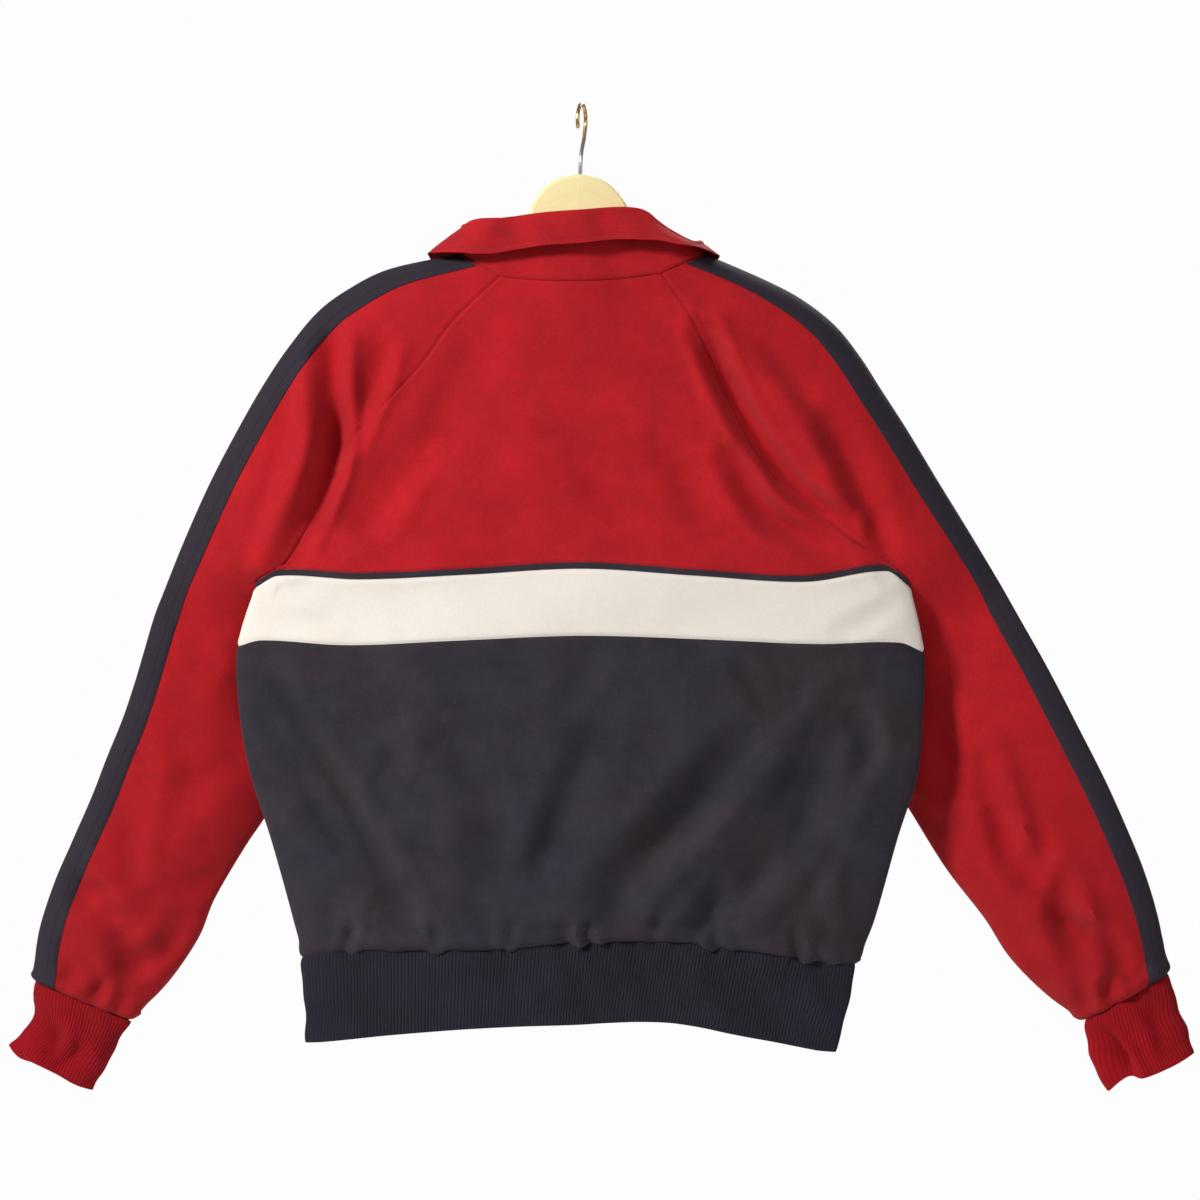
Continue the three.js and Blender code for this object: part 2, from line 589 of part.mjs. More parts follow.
// Fold-over collar: a stand on the neck seam, a tight fold and a fall outside it
function neckPlace(place) {
  const [side, front] = place < 0 ? ["left", "frontLeft"] : ["right", "frontRight"];
  if (abs(place) <= 1) return upperPoint("back", place, 0).at;
  if (abs(place) <= 3) return sleevePoint(side, 0, abs(place) - 1).at;
  return upperPoint(front, (4 - abs(place)) * sideSign[side], 0).at;
}
const COLLAR_GAP = 0.6;
const STAND_STEPS = 3;
const FOLD_STEPS = 4;
const FALL_STEPS = 3;
const HALF_COLLAR_PLACES = [0.33, 0.67, 1, 1.3, 1.6, 1.8, 1.92, 1.97, 2, 2.02, 2.06, 2.14, 2.3, 2.55,
  2.8, 3, 3.3, 3.65, 4];
function collarSection(rows, place) {
  const at = (key) => smoothAlong(rows, key, place);
  const neck = neckPlace(place);
  neck.z += COLLAR_GAP;
  const outward = vec(neck.x / NECK_HALF_WIDTH, neck.y / NECK_HALF_DEPTH, 0).normalize();
  const r = COLLAR_FOLD_RADIUS;
  const top = neck.clone().addScaledVector(outward, at("lean"));
  top.z += at("rise") - r;
  const fallTop = top.clone().addScaledVector(outward, 2 * r);
  const free = fallTop.clone().addScaledVector(outward, at("out") - r);
  free.x += at("slide");
  free.z -= at("drop") - r;
  const points = steps(0, 1, STAND_STEPS).map((t) => neck.clone().lerp(top, t));
  for (const angle of steps(0, PI, FOLD_STEPS).slice(1, -1)) {
    const p = top.clone().addScaledVector(outward, r * (1 - cos(angle)));
    p.z += r * sin(angle);
    points.push(p);
  }
  points.push(...steps(0, 1, FALL_STEPS).map((t) => fallTop.clone().lerp(free, t)));
  return points.map((p, i) => {
    const turn = PI * clamp01((i - STAND_STEPS) / FOLD_STEPS);
    const inward = outward.clone().multiplyScalar(cos(turn));
    inward.z = -sin(turn);
    return { at: p, inward };
  });
}
const collarRows = named(COLLAR_COLUMNS, COLLAR);
const collarPlaces = [...HALF_COLLAR_PLACES.map((p) => -p).reverse(), 0, ...HALF_COLLAR_PLACES];
const collarGrid = collarPlaces.map((place) => collarSection(collarRows, place));
add("collar", wall(collarGrid, WALL), COLOURS.red);

// Zip: a tape inside each front edge, the closed chain between them
function frontMiddle(row) {
  return row <= UNDERARM
    ? upperPoint("frontLeft", 0, row).at
    : bodyPoint("frontLeft", 0, row - UNDERARM).at;
}
const zipRows = [...steps(0, UNDERARM, 5), ...steps(UNDERARM + 1, UNDERARM + levels.length - 1, 8)];
function zipStrip(name, fromX, toX, thickness, rows, colour, metalness) {
  const grid = rows.map((row) => {
    const middle = frontMiddle(row);
    const y = middle.y - WALL / 2 + thickness / 2;
    return steps(fromX, toX, 1).map((x) => ({ at: vec(x, y, middle.z), inward: vec(0, -1, 0) }));
  });
  add(name, wall(grid, thickness, {}), colour, 0.5, metalness);
}
const TAPE_GAP = 0.3;
zipStrip("zip_tape_left", -ZIP_EDGE + TAPE_GAP, -CHAIN_HALF_WIDTH - TAPE_GAP, 1, zipRows, COLOURS.navy, 0);
zipStrip("zip_tape_right", CHAIN_HALF_WIDTH + TAPE_GAP, ZIP_EDGE - TAPE_GAP, 1, zipRows, COLOURS.navy, 0);
zipStrip("zip_chain", -CHAIN_HALF_WIDTH, CHAIN_HALF_WIDTH, CHAIN_THICKNESS, zipRows, COLOURS.zip, 0.8);

// Slider at the top of the closed chain: two plates joined above it, and an arch for the pull
const wasm = await Module();
wasm.setup();
function joined(first, second) {
  const [a, b] = [first, second].map((source) => {
    const bare = (source.index ? source.toNonIndexed() : source).clone();
    bare.deleteAttribute("normal");
    bare.deleteAttribute("uv");
    const merged = mergeVertices(bare, 1e-4);
    const vertProperties = merged.attributes.position.array;
    const triVerts = new Uint32Array(merged.index.array);
    return new wasm.Manifold(new wasm.Mesh({ numProp: 3, vertProperties, triVerts }));
  });
  const mesh = a.add(b).getMesh();
  const geometry = new THREE.BufferGeometry();
  geometry.setAttribute("position", new THREE.BufferAttribute(mesh.vertProperties, 3));
  geometry.setIndex(new THREE.BufferAttribute(mesh.triVerts, 1));
  return geometry;
}
// An outline of (y, z) corners made a block across X
function blockAcross(corners, width, hole) {
  const shape = new THREE.Shape(corners.map(([y, z]) => new THREE.Vector2(y, z)));
  if (hole) shape.holes.push(new THREE.Path(hole.map(([y, z]) => new THREE.Vector2(y, z))));
  const block = new THREE.ExtrudeGeometry(shape, { depth: width, bevelEnabled: false });
  const turn = new THREE.Matrix4().makeBasis(vec(0, 1, 0), vec(0, 0, 1), vec(1, 0, 0));
  return block.translate(0, 0, -width / 2).applyMatrix4(turn);
}
const SLIDER_WIDTH = 9;
const SLIDER_PLATE = 1.8;
const SLIDER_CLEARANCE = 0.5; // between the chain and each plate
const SLIDER_ABOVE = 4.5; // over the top of the chain
const SLIDER_BELOW = 14;
const SLIDER_BRIDGE = 0.6; // the two plates join this far over the chain
const ARCH_WIDTH = 2;
const ARCH_HALF_LENGTH = 4.2;
const ARCH_CORNER = 0.9;
const ARCH_RISE = 2.5; // from the pull's axis to the top of the arch
const ARCH_FOOT = 1.8; // from the pull's axis down into the plate
const ARCH_BORE = { half: 1.3, halfLength: 2.8 };
const PULL_AXIS_OVER_PLATE = 1.4;
const PULL_AXIS_BELOW_TOP = 5;
const zipTop = frontMiddle(0);
const chainFront = zipTop.y - WALL / 2 + CHAIN_THICKNESS / 2;
const slotFront = chainFront + SLIDER_CLEARANCE;
const slotBack = chainFront - CHAIN_THICKNESS - SLIDER_CLEARANCE;
const plateFront = slotFront + SLIDER_PLATE;
const plateBack = slotBack - SLIDER_PLATE;
const sliderTop = zipTop.z + SLIDER_ABOVE;
const sliderBottom = zipTop.z - SLIDER_BELOW;
const bridge = zipTop.z + SLIDER_BRIDGE;
const pullAxis = vec(0, plateFront + PULL_AXIS_OVER_PLATE, zipTop.z - PULL_AXIS_BELOW_TOP);
const slider = blockAcross([
  [plateBack, sliderBottom], [slotBack, sliderBottom], [slotBack, bridge],
  [slotFront, bridge], [slotFront, sliderBottom], [plateFront, sliderBottom],
  [plateFront, sliderTop], [plateBack, sliderTop],
], SLIDER_WIDTH);
const archAt = (y, z) => [pullAxis.y + y, pullAxis.z + z];
const archSide = ARCH_HALF_LENGTH - ARCH_CORNER;
const archCorner = ARCH_RISE - ARCH_CORNER;
const arch = blockAcross(
  [
    archAt(-ARCH_FOOT, -ARCH_HALF_LENGTH), archAt(archCorner, -ARCH_HALF_LENGTH),
    archAt(ARCH_RISE, -archSide), archAt(ARCH_RISE, archSide),
    archAt(archCorner, ARCH_HALF_LENGTH), archAt(-ARCH_FOOT, ARCH_HALF_LENGTH),
  ],
  ARCH_WIDTH,
  [[-1, -1], [-1, 1], [1, 1], [1, -1]].map(([y, z]) =>
    archAt(y * ARCH_BORE.half, z * ARCH_BORE.halfLength)),
);
add("zip_slider", joined(slider, arch), COLOURS.zip, 0.35, 0.9);

// Pull tab: its top bar passes through the arch, and it swings on that bar
const PULL_THICKNESS = 1.6;
const PULL_LENGTH = 25;
const PULL_HALF_WIDTH = 4.2;
const PULL_NECK_HALF_WIDTH = 3.1;
const PULL_NECK_END = -7;
const PULL_SHOULDER = -10;
const PULL_ARC_CENTRE = 4 - PULL_LENGTH;
const PULL_HOLE = { half: 1.6, end: -5.6 };
function pullTab() {
  const top = PULL_THICKNESS / 2;
  const outline = new THREE.Shape();
  outline.moveTo(-PULL_NECK_HALF_WIDTH, top);
  outline.lineTo(PULL_NECK_HALF_WIDTH, top);
  outline.lineTo(PULL_NECK_HALF_WIDTH, PULL_NECK_END);
  outline.lineTo(PULL_HALF_WIDTH, PULL_SHOULDER);
  outline.lineTo(PULL_HALF_WIDTH, PULL_ARC_CENTRE);
  outline.absarc(0, PULL_ARC_CENTRE, PULL_HALF_WIDTH, 0, -PI, true);
  outline.lineTo(-PULL_HALF_WIDTH, PULL_SHOULDER);
  outline.lineTo(-PULL_NECK_HALF_WIDTH, PULL_NECK_END);
  const { half, end } = PULL_HOLE;
  const hole = [[-half, -top], [-half, end], [half, end], [half, -top]];
  outline.holes.push(new THREE.Path(hole.map(([x, z]) => new THREE.Vector2(x, z))));
  const options = { depth: PULL_THICKNESS, bevelEnabled: false, curveSegments: 8 };
  const tab = new THREE.ExtrudeGeometry(outline, options);
  return tab.translate(0, 0, -PULL_THICKNESS / 2).rotateX(PI / 2);
}
add("zip_pull", pullTab(), COLOURS.zip, 0.35, 0.9).position.copy(pullAxis);

// Wooden hanger: a flat bar with a domed neck, its shoulders just under the overarm lines
const hanger = new THREE.Group();
hanger.rotation.y = HANGER_TILT;
jacket.add(hanger);
const WOOD_THICKNESS = 12;
const WOOD_BEVEL = 3;
const DOME_TOP = -58;
const BAR_UNDERSIDE = -150;
const HALF_BAR = [
  [22, -63.9], [38, -79.9], [44.5, -98], [56, -116], [78, -127], [100, -132.5], [118, -135.6],
  [139, -140.8], [158, -147.8], [176, -156.4], [191, -165], [203, -173.4], [210, -181],
  [212, -190], [206, -198], [196, -198], [176, -186], [150, -173], [110, -160], [60, -152],
];
function woodBar() {
  const half = HALF_BAR.map(([x, z]) => new THREE.Vector2(x, z));
  const mirrored = half.map((p) => new THREE.Vector2(-p.x, p.y)).reverse();
  const [dome, underside] = [DOME_TOP, BAR_UNDERSIDE].map((z) => new THREE.Vector2(0, z));
  const outline = [dome, ...half, underside, ...mirrored];
  const curve = new THREE.SplineCurve([...outline, outline[0]]);
  const inset = curve.getPoints(56).slice(0, -1);
  const options = {
    depth: WOOD_THICKNESS - 2 * WOOD_BEVEL, bevelThickness: WOOD_BEVEL, bevelSize: WOOD_BEVEL,
    bevelOffset: -WOOD_BEVEL, bevelSegments: 2,
  };
  const bar = new THREE.ExtrudeGeometry(new THREE.Shape(inset), options);
  return bar.translate(0, 0, WOOD_BEVEL - WOOD_THICKNESS / 2).rotateX(PI / 2);
}
const bar = add("hanger_wood", woodBar(), COLOURS.wood, 0.55);
hanger.add(bar);

// Wire hook with its loop turned away from the picture, centred over the dome
const WIRE_RADIUS = 1.6;
const LOOP_RADIUS = 14;
const LOOP_CENTRE = -LOOP_RADIUS + WIRE_RADIUS;
const HOOK_FOOT = -57.4;
const SHANK = [[0, HOOK_FOOT], [0, -46], [0.5, -37], [5, -28.5]]; // (reach, height)
const LOOP_FROM = -30; // degrees round the loop
const LOOP_TO = 215;
const LOOP_STEP = 24.5;
function hookWire() {
  const onLoop = (degrees) => {
    const a = THREE.MathUtils.degToRad(degrees);
    return [LOOP_RADIUS * cos(a), LOOP_CENTRE + LOOP_RADIUS * sin(a)];
  };
  const route = [...SHANK];
  for (let degrees = LOOP_FROM; degrees <= LOOP_TO; degrees += LOOP_STEP) {
    route.push(onLoop(degrees));
  }
  const points = route.map(([r, z]) => vec(r * cos(HOOK_TURN), r * sin(HOOK_TURN), z));
  const section = new THREE.Shape();
  section.absarc(0, 0, WIRE_RADIUS, 0, 2 * PI);
  const path = new THREE.CatmullRomCurve3(points);
  return new THREE.ExtrudeGeometry(section, { steps: 26, curveSegments: 4, extrudePath: path });
}
const hook = add("hanger_hook", hookWire(), COLOURS.metal, 0.3, 0.9);
hanger.add(hook);

export default jacket;
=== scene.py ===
# Looks of a raglan track jacket on a wooden hanger, seen from the back along +Y.
# Lengths in the tables are millimetres in the part's own frame. Meshes are made in metres.
import math

import bpy
import numpy as np
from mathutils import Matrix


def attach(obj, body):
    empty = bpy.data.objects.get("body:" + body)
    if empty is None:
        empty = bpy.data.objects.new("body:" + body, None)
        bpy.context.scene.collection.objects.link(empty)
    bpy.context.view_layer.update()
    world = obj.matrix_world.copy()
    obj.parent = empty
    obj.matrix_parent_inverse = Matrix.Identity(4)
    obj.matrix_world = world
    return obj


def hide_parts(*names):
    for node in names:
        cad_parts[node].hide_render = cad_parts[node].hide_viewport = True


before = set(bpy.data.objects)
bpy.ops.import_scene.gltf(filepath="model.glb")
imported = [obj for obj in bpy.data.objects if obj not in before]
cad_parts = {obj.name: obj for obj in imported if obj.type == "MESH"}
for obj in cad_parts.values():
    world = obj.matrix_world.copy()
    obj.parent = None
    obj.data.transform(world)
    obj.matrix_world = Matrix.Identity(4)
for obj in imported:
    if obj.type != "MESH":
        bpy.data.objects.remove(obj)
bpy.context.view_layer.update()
bpy.ops.object.select_all(action="DESELECT")
draws = np.random.default_rng(11)

# Driving dimensions, as in the solids
MM = 0.001
JERSEY_WALL = 1.3
RIB_WALL = 1.7
COLLAR_WALL = 1.7
TAPE_HALF_WIDTH = 20
TAPE_LIFT = 0.25
TAPE_WALL = 0.9
ZIP_EDGE = 9
UNDERARM = 9
SIDE_DEPTH = -11
NECK_SAG = 5
FRONT_NECK = -226
FRONT_NECK_CURVE = 1.3
FRONT_NECK_SUNK = 2
RIB_PITCH = 3.0
EDGE_TURN = 5  # power by which the way into the cloth turns sideways close to an edge
EDGE_CALM = 6  # power by which the folds die out close to an edge

# Sleeve stations from neck to cuff: the back edge down to the underarm point and the inner fold
# below it, the overarm edge, the swell of the back and front faces, and 1 where it is a tube
SLEEVE_COLUMNS = "bx by bz ox oy oz puff_back puff_front closed".split()
SLEEVE_TABLES = {
    "left": [
        [-68, -30, -146, -102, 0, -126, 0, 0, 0],
        [-108, -30, -184, -162, 0, -139, 0, 0, 0],
        [-133, -31, -218, -197, 0, -156, 0, 0, 0],
        [-159, -32, -247, -224, 0, -176, 0, 0, 0],
        [-180, -32, -269, -248, 0, -205, 2, 2, 0],
        [-197, -31, -288, -267, 0, -233, 4, 4, 0.05],
        [-212, -29, -318, -287, 1, -267, 8, 8, 0.2],
        [-231, -25, -356, -314, 2, -318, 11, 12, 0.45],
        [-252, -19, -390, -337, 3, -369, 12, 16, 0.75],
        [-275, -11, -405, -354, 4, -411, 3, 18, 1],
        [-267, 15, -439, -363, 6, -434, 6, 17, 1],
        [-235, 30, -478, -373, 9, -467, 11, 16, 1],
        [-231, 38, -518, -381, 12, -493, 13, 16, 1],
        [-248, 38, -560, -391, 14, -522, 14, 16, 1],
        [-268, 35, -600, -405, 16, -556, 16, 17, 1],
        [-289, 31, -632, -417, 17, -587, 17, 18, 1],
        [-314, 27, -675, -435, 18, -628, 18, 18, 1],
        [-328, 25, -709, -450, 18, -663, 19, 19, 1],
        [-354, 22, -747, -463, 18, -705, 19, 19, 1],
        [-386, 20, -779, -467, 18, -745, 13, 13, 1],
    ],
    "right": [
        [66, -30, -143, 103, 0, -126, 0, 0, 0],
        [88, -30, -173, 154, 0, -148, 0, 0, 0],
        [105, -31, -206, 186, 0, -165, 0, 0, 0],
        [117, -32, -235, 214, 0, -187, 0, 0, 0],
        [133, -32, -268, 235, 0, -213, 2, 2, 0],
        [149, -31, -297, 253, 0, -241, 4, 4, 0.05],
        [171, -29, -324, 275, 1, -275, 8, 8, 0.2],
        [201, -25, -348, 301, 2, -318, 11, 12, 0.45],
        [238, -19, -376, 330, 3, -365, 12, 16, 0.75],
        [276, -11, -404, 354, 4, -405, 3, 18, 1],
        [268, 15, -439, 366, 6, -426, 6, 17, 1],
        [243, 30, -478, 377, 9, -445, 11, 16, 1],
        [239, 38, -518, 392, 12, -471, 13, 16, 1],
        [253, 38, -560, 406, 14, -497, 14, 16, 1],
        [278, 35, -596, 422, 16, -528, 16, 17, 1],
        [311, 31, -649, 445, 17, -573, 17, 18, 1],
        [344, 27, -692, 464, 18, -615, 18, 18, 1],
        [366, 25, -726, 479, 18, -652, 19, 19, 1],
        [398, 22, -758, 491, 18, -692, 19, 19, 1],
        [429, 20, -779, 500, 18, -739, 13, 13, 1],
    ],
}
FRONT_SEAM = [
    [84, 32, -186],
    [106, 31, -218],
    [127, 30, -243],
    [147, 29, -266],
    [166, 28, -288],
    [184, 27, -309],
    [203, 23, -333],
    [225, 16, -361],
    [250, 5, -387],
]

# Levels of the body from the piping to the hem: the side edges, the depths and the heights across
ACROSS = [-1, -0.93, -0.68, -0.35, 0, 0.35, 0.68, 0.93, 1]
LEVEL_COLUMNS = "xl xr back front".split()
LEVELS = {
    "piping_top": [-275, 276, 26, 34],
    "band_top": [-277, 278, 26, 34],
    "band_bottom": [-292, 290, 27, 36],
    "chest": [-291, 289, 27, 37],
    "waist": [-282, 285, 28, 38],
    "hip": [-263, 268, 29, 38],
    "blouse": [-245, 249, 28, 36],
    "hem_seam": [-238, 234, 20, 30],
    "hem": [-234, 216, 18, 28],
}
LEVEL_HEIGHTS = [
    [-405, -396, -399, -395, -390, -396, -401, -392, -404],
    [-409, -399.4, -402.4, -398.4, -393.4, -399.4, -404.4, -395.4, -408],
    [-459, -454, -458, -454, -450, -453, -457, -456, -464],
    [-510, -507, -508, -506, -503, -505, -508, -511, -516],
    [-564, -563, -562, -560, -558, -560, -562, -565, -567],
    [-625, -624, -622, -621, -619, -620, -622, -621, -621],
    [-690, -688, -686, -685, -680, -680, -686, -689, -688],
    [-723, -719, -716, -716, -709, -709, -720, -727, -728],
    [-795, -794, -788, -782, -779, -777, -790, -801, -803],
]
LEVEL = {name: i for i, name in enumerate(LEVELS)}

# Folds as lines of (x, z) places with a depth, minus for a ridge, and a width on each side
BACK_FOLDS = [
    [((-212, -190), (-210, -233), (-211, -305), (-245, -384)), 12, 9, 15],
    [((-224, -236), (-232, -300), (-262, -390)), -5, 16, 14],
    [((-167, -203), (-176, -240), (-196, -286)), 5.5, 9, 15],
    [((-138, -301), (-155, -318), (-176, -352), (-206, -362)), 3.5, 12, 20],
    [((-196, -330), (-178, -362), (-150, -386)), 2.5, 14, 11],
    [((106, -192), (122, -232), (143, -272), (180, -322), (224, -354)), 9.5, 8, 11],
    [((116, -190), (168, -250), (211, -318), (230, -348)), -5, 12, 14],
    [((128, -300), (158, -346), (218, -380)), 7, 9, 12],
    [((212, -272), (234, -328), (262, -388)), 4.5, 15, 12],
    [((7, -305), (22, -332), (41, -360)), 2, 16, 14],
    [((66, -288), (90, -324), (109, -360)), 2.2, 15, 12],
    [((-92, -214), (-116, -262), (-128, -318)), 1.8, 18, 14],
    [((-40, -236), (-44, -300), (-30, -352)), -1.4, 24, 22],
    [((252, -350), (256, -372), (262, -396)), 2.5, 7, 9],
    [((-276, -424), (-250, -438), (-216, -440)), 1.6, 9, 8],
    [((274, -420), (250, -434), (222, -446)), 2, 8, 9],
    [((-274, -471), (-201, -590), (-146, -683)), 7, 12, 18],
    [((-286, -496), (-223, -598), (-193, -662)), 5, 10, 14],
    [((-155, -543), (-163, -562), (-172, -579)), 2, 11, 9],
    [((-112, -547), (-78, -594), (-70, -683)), 5, 15, 19],
    [((7, -478), (0, -494), (-10, -509)), 2, 10, 12],
    [((7, -543), (-19, -612), (-48, -668)), 5, 18, 14],
    [((139, -543), (92, -598), (58, -637), (24, -683)), 8, 14, 19],
    [((158, -560), (120, -612), (84, -652)), -3, 13, 12],
    [((236, -509), (202, -556), (177, -624), (117, -688)), 7, 15, 19],
    [((247, -548), (215, -590), (185, -690)), 5, 12, 17],
    [((238, -520), (245, -538), (240, -558)), 6.5, 9, 11],
    [((134, -478), (146, -494), (156, -509)), 2.5, 10, 8],
    [((117, -666), (104, -688), (88, -706)), 3, 9, 10],
    [((-232, -640), (-214, -672), (-206, -706)), 3, 12, 10],
    [((198, -664), (206, -690), (206, -714)), 2.5, 9, 10],
    # Puckers over the hem rib
    [((-193, -694), (-195, -706), (-196, -717)), 3.4, 5, 6],
    [((-126, -690), (-123, -704), (-122, -716)), 2.6, 6, 5],
    [((-61, -696), (-60, -706), (-62, -714)), 3, 5, 5],
    [((-14, -692), (-13, -702), (-15, -711)), 2.2, 6, 7],
    [((6, -694), (4, -702), (3, -710)), 3, 5, 5],
    [((66, -686), (62, -700), (60, -709)), 2.4, 6, 6],
    [((112, -694), (113, -706), (113, -716)), 3.2, 5, 5],
    [((180, -700), (182, -712), (182, -722)), 3, 6, 5],
]
FRONT_FOLDS = [
    [((-205, -205), (-196, -290), (-236, -372)), 8, 15, 19],
    [((200, -200), (190, -290), (232, -370)), 8, 19, 15],
    [((-150, -250), (-132, -310), (-160, -366)), 3.5, 14, 18],
    [((146, -256), (126, -316), (140, -372)), 3, 16, 13],
    [((-60, -262), (-44, -320), (-52, -372)), 2, 18, 14],
    [((-250, -480), (-170, -590), (-120, -690)), 6, 18, 25],
    [((236, -500), (160, -600), (110, -690)), 6, 24, 19],
    [((-120, -420), (-90, -520), (-95, -620)), 5, 20, 24],
    [((110, -430), (84, -530), (70, -640)), 5, 24, 18],
    [((-210, -540), (-226, -600), (-206, -668)), 4, 13, 16],
    [((206, -532), (220, -598), (196, -676)), 3.5, 15, 13],
    [((-48, -560), (-36, -610), (-44, -672)), 3, 13, 16],
    [((44, -552), (30, -620), (36, -690)), 3.5, 15, 12],
    [((-160, -694), (-162, -706), (-160, -716)), 3, 6, 5],
    [((-92, -692), (-90, -704), (-92, -714)), 3.2, 5, 6],
    [((-38, -690), (-36, -702), (-37, -712)), 2.4, 5, 5],
    [((54, -690), (56, -702), (55, -712)), 3, 6, 5],
    [((120, -692), (118, -706), (119, -716)), 2.8, 5, 5],
    [((178, -698), (180, -710), (181, -720)), 3, 5, 6],
]
SLEEVE_BACK_FOLDS = BACK_FOLDS + [
    [((-440, -648), (-428, -664), (-410, -676)), 9, 11, 15],
    [((-446, -706), (-442, -722), (-441, -737)), 3, 8, 8],
    [((-302, -655), (-318, -662), (-338, -664)), 4, 9, 12],
    [((-339, -700), (-356, -722), (-384, -734)), 6, 9, 12],
    [((-400, -700), (-388, -722), (-376, -748)), 5, 13, 12],
    [((-388, -545), (-398, -590), (-386, -650)), 4, 12, 16],
    [((-370, -533), (-376, -590), (-380, -646)), 2.5, 9, 11],
    [((-352, -470), (-344, -520), (-330, -566)), 2, 16, 14],
    [((-300, -560), (-330, -580), (-352, -610)), 2, 14, 16],
    [((-420, -690), (-410, -706), (-402, -728)), -2.5, 12, 12],
    [((-444, -748), (-436, -740), (-430, -728)), 3, 6, 7],
    [((-418, -764), (-412, -754), (-408, -744)), 3.2, 6, 6],
    [((-398, -772), (-392, -762), (-390, -752)), 2.6, 6, 6],
    [((296, -500), (309, -536), (316, -570)), 4.5, 12, 16],
    [((279, -592), (290, -600), (302, -609)), 3, 7, 9],
    [((347, -560), (360, -606), (366, -643)), 4, 9, 12],
    [((352, -540), (368, -606), (376, -645)), -4, 10, 11],
    [((358, -606), (372, -636), (384, -668)), 5.5, 9, 12],
    [((392, -622), (388, -644), (380, -657)), 3, 10, 10],
    [((404, -662), (416, -694), (428, -726)), 10, 11, 15],
    [((440, -704), (455, -722), (466, -738)), 7.5, 9, 11],
    [((412, -676), (430, -688), (446, -704)), -3, 10, 10],
    [((446, -738), (449, -752), (452, -766)), 4, 7, 7],
    [((476, -724), (480, -738), (486, -748)), 3, 6, 6],
    [((424, -748), (428, -760), (436, -772)), 3, 7, 7],
    [((330, -440), (322, -476), (326, -510)), 2, 16, 14],
]
SLEEVE_FRONT_FOLDS = FRONT_FOLDS + [
    [((-330, -480), (-345, -540), (-352, -600)), 6, 16, 20],
    [((-380, -640), (-392, -680), (-400, -720)), 7, 16, 19],
    [((-300, -640), (-324, -668), (-352, -690)), 4, 12, 15],
    [((-420, -700), (-416, -724), (-410, -752)), 4, 10, 9],
    [((-440, -716), (-436, -732), (-438, -748)), 3, 7, 8],
    [((330, -480), (350, -540), (366, -600)), 6, 20, 16],
    [((400, -630), (420, -680), (436, -716)), 7, 16, 19],
    [((318, -642), (346, -676), (372, -700)), 4, 12, 15],
    [((444, -700), (448, -730), (452, -760)), 4, 9, 10],
    [((476, -706), (480, -724), (486, -742)), 3, 8, 7],
]
FOLD_SAMPLES = 11
FOLD_LIP = 0.3  # a fold raises the cloth beside it by this share of its depth
FOLD_LIP_AT = 1.75
FOLD_LIP_WIDTH = 0.65
FOLD_END = 0.06  # a fold starts and ends this far into its half wave, so it doesn't end at nothing
FOLD_GAIN = 1.75  # the cloth lies deeper in its folds than the solids do

# The collar at places round the neck: 0 mid back, 1 back raglan seam, 2 shoulder, 3 front raglan
# seam, 4 zip, minus on the left. rise and lean go to the fold, out, drop and slide to the free edge.
COLLAR_COLUMNS = "place rise lean out drop slide".split()
COLLAR = [
    [-4, 26, 3, 15, 78, -46],
    [-3.6, 27, 2, 17, 72, -34],
    [-3.2, 28, -1, 21, 56, -14],
    [-2.7, 31, -5, 27, 37, 0],
    [-2.3, 29, -6, 31, 28, 0],
    [-2, 25, -5, 31, 25, 0],
    [-1.75, 32, -4, 23, 28, 0],
    [-1.5, 38, -3, 18, 30, 0],
    [-1.35, 41, -3, 17, 31, 0],
    [-1, 48, -3, 14, 31, 0],
    [-0.8, 51, -3, 14, 30, 0],
    [-0.4, 56, -2, 13, 29, 0],
    [0, 58, -1, 13, 29, 0],
    [0.4, 59, -2, 14, 28, 0],
    [0.7, 56.5, -3, 17, 28, 0],
    [0.85, 51.5, -3, 19, 25, 0],
    [1, 42, -4, 22, 20, 0],
    [1.35, 27, -4, 24, 13, 0],
    [1.75, 14, -5, 21, 10, 0],
    [2, 11, -6, 19, 13, 0],
    [2.3, 14, -7, 21, 18, 0],
    [2.7, 23, -6, 24, 32, 0],
    [3.2, 28, -1, 21, 56, 14],
    [3.6, 27, 2, 17, 72, 34],
    [4, 26, 3, 15, 78, 46],
]
COLLAR_FOLD_RADIUS = 3
NECK_HALF_WIDTH = 98
NECK_HALF_DEPTH = 36
COLLAR_GAP = 0.6
COLLAR_FOOT_IN = 1.6  # the stand's foot is caught in the neck seam
COLLAR_FOOT_DOWN = 2.0

CUFF_COLUMNS = "ix iz ox oz y half".split()
CUFF_TABLES = {
    "left": [
        [-386, -779.4, -467, -745.4, 19, 12],
        [-396, -799, -469, -776, 19, 13],
        [-407, -819, -482, -793, 19, 13],
        [-418, -838, -489, -800, 18, 12],
    ],
    "right": [
        [429, -779.4, 500, -739.4, 19, 12],
        [433, -796, 508, -768, 19, 13],
        [438, -817, 516, -790, 19, 13],
        [449, -839, 523, -806, 18, 12],
    ],
}
SIDE_SIGN = {"left": -1, "right": 1}
SIDES = list(SIDE_SIGN)


def mix(a, b, t):
    return a + (b - a) * t


def bell(x, middle, width):
    return np.exp(-(((x - middle) / width) ** 2))


def arc(t):
    """Height of a half circle that stands over -1 to 1"""
    return np.sqrt(np.maximum(0, 1 - t * t))


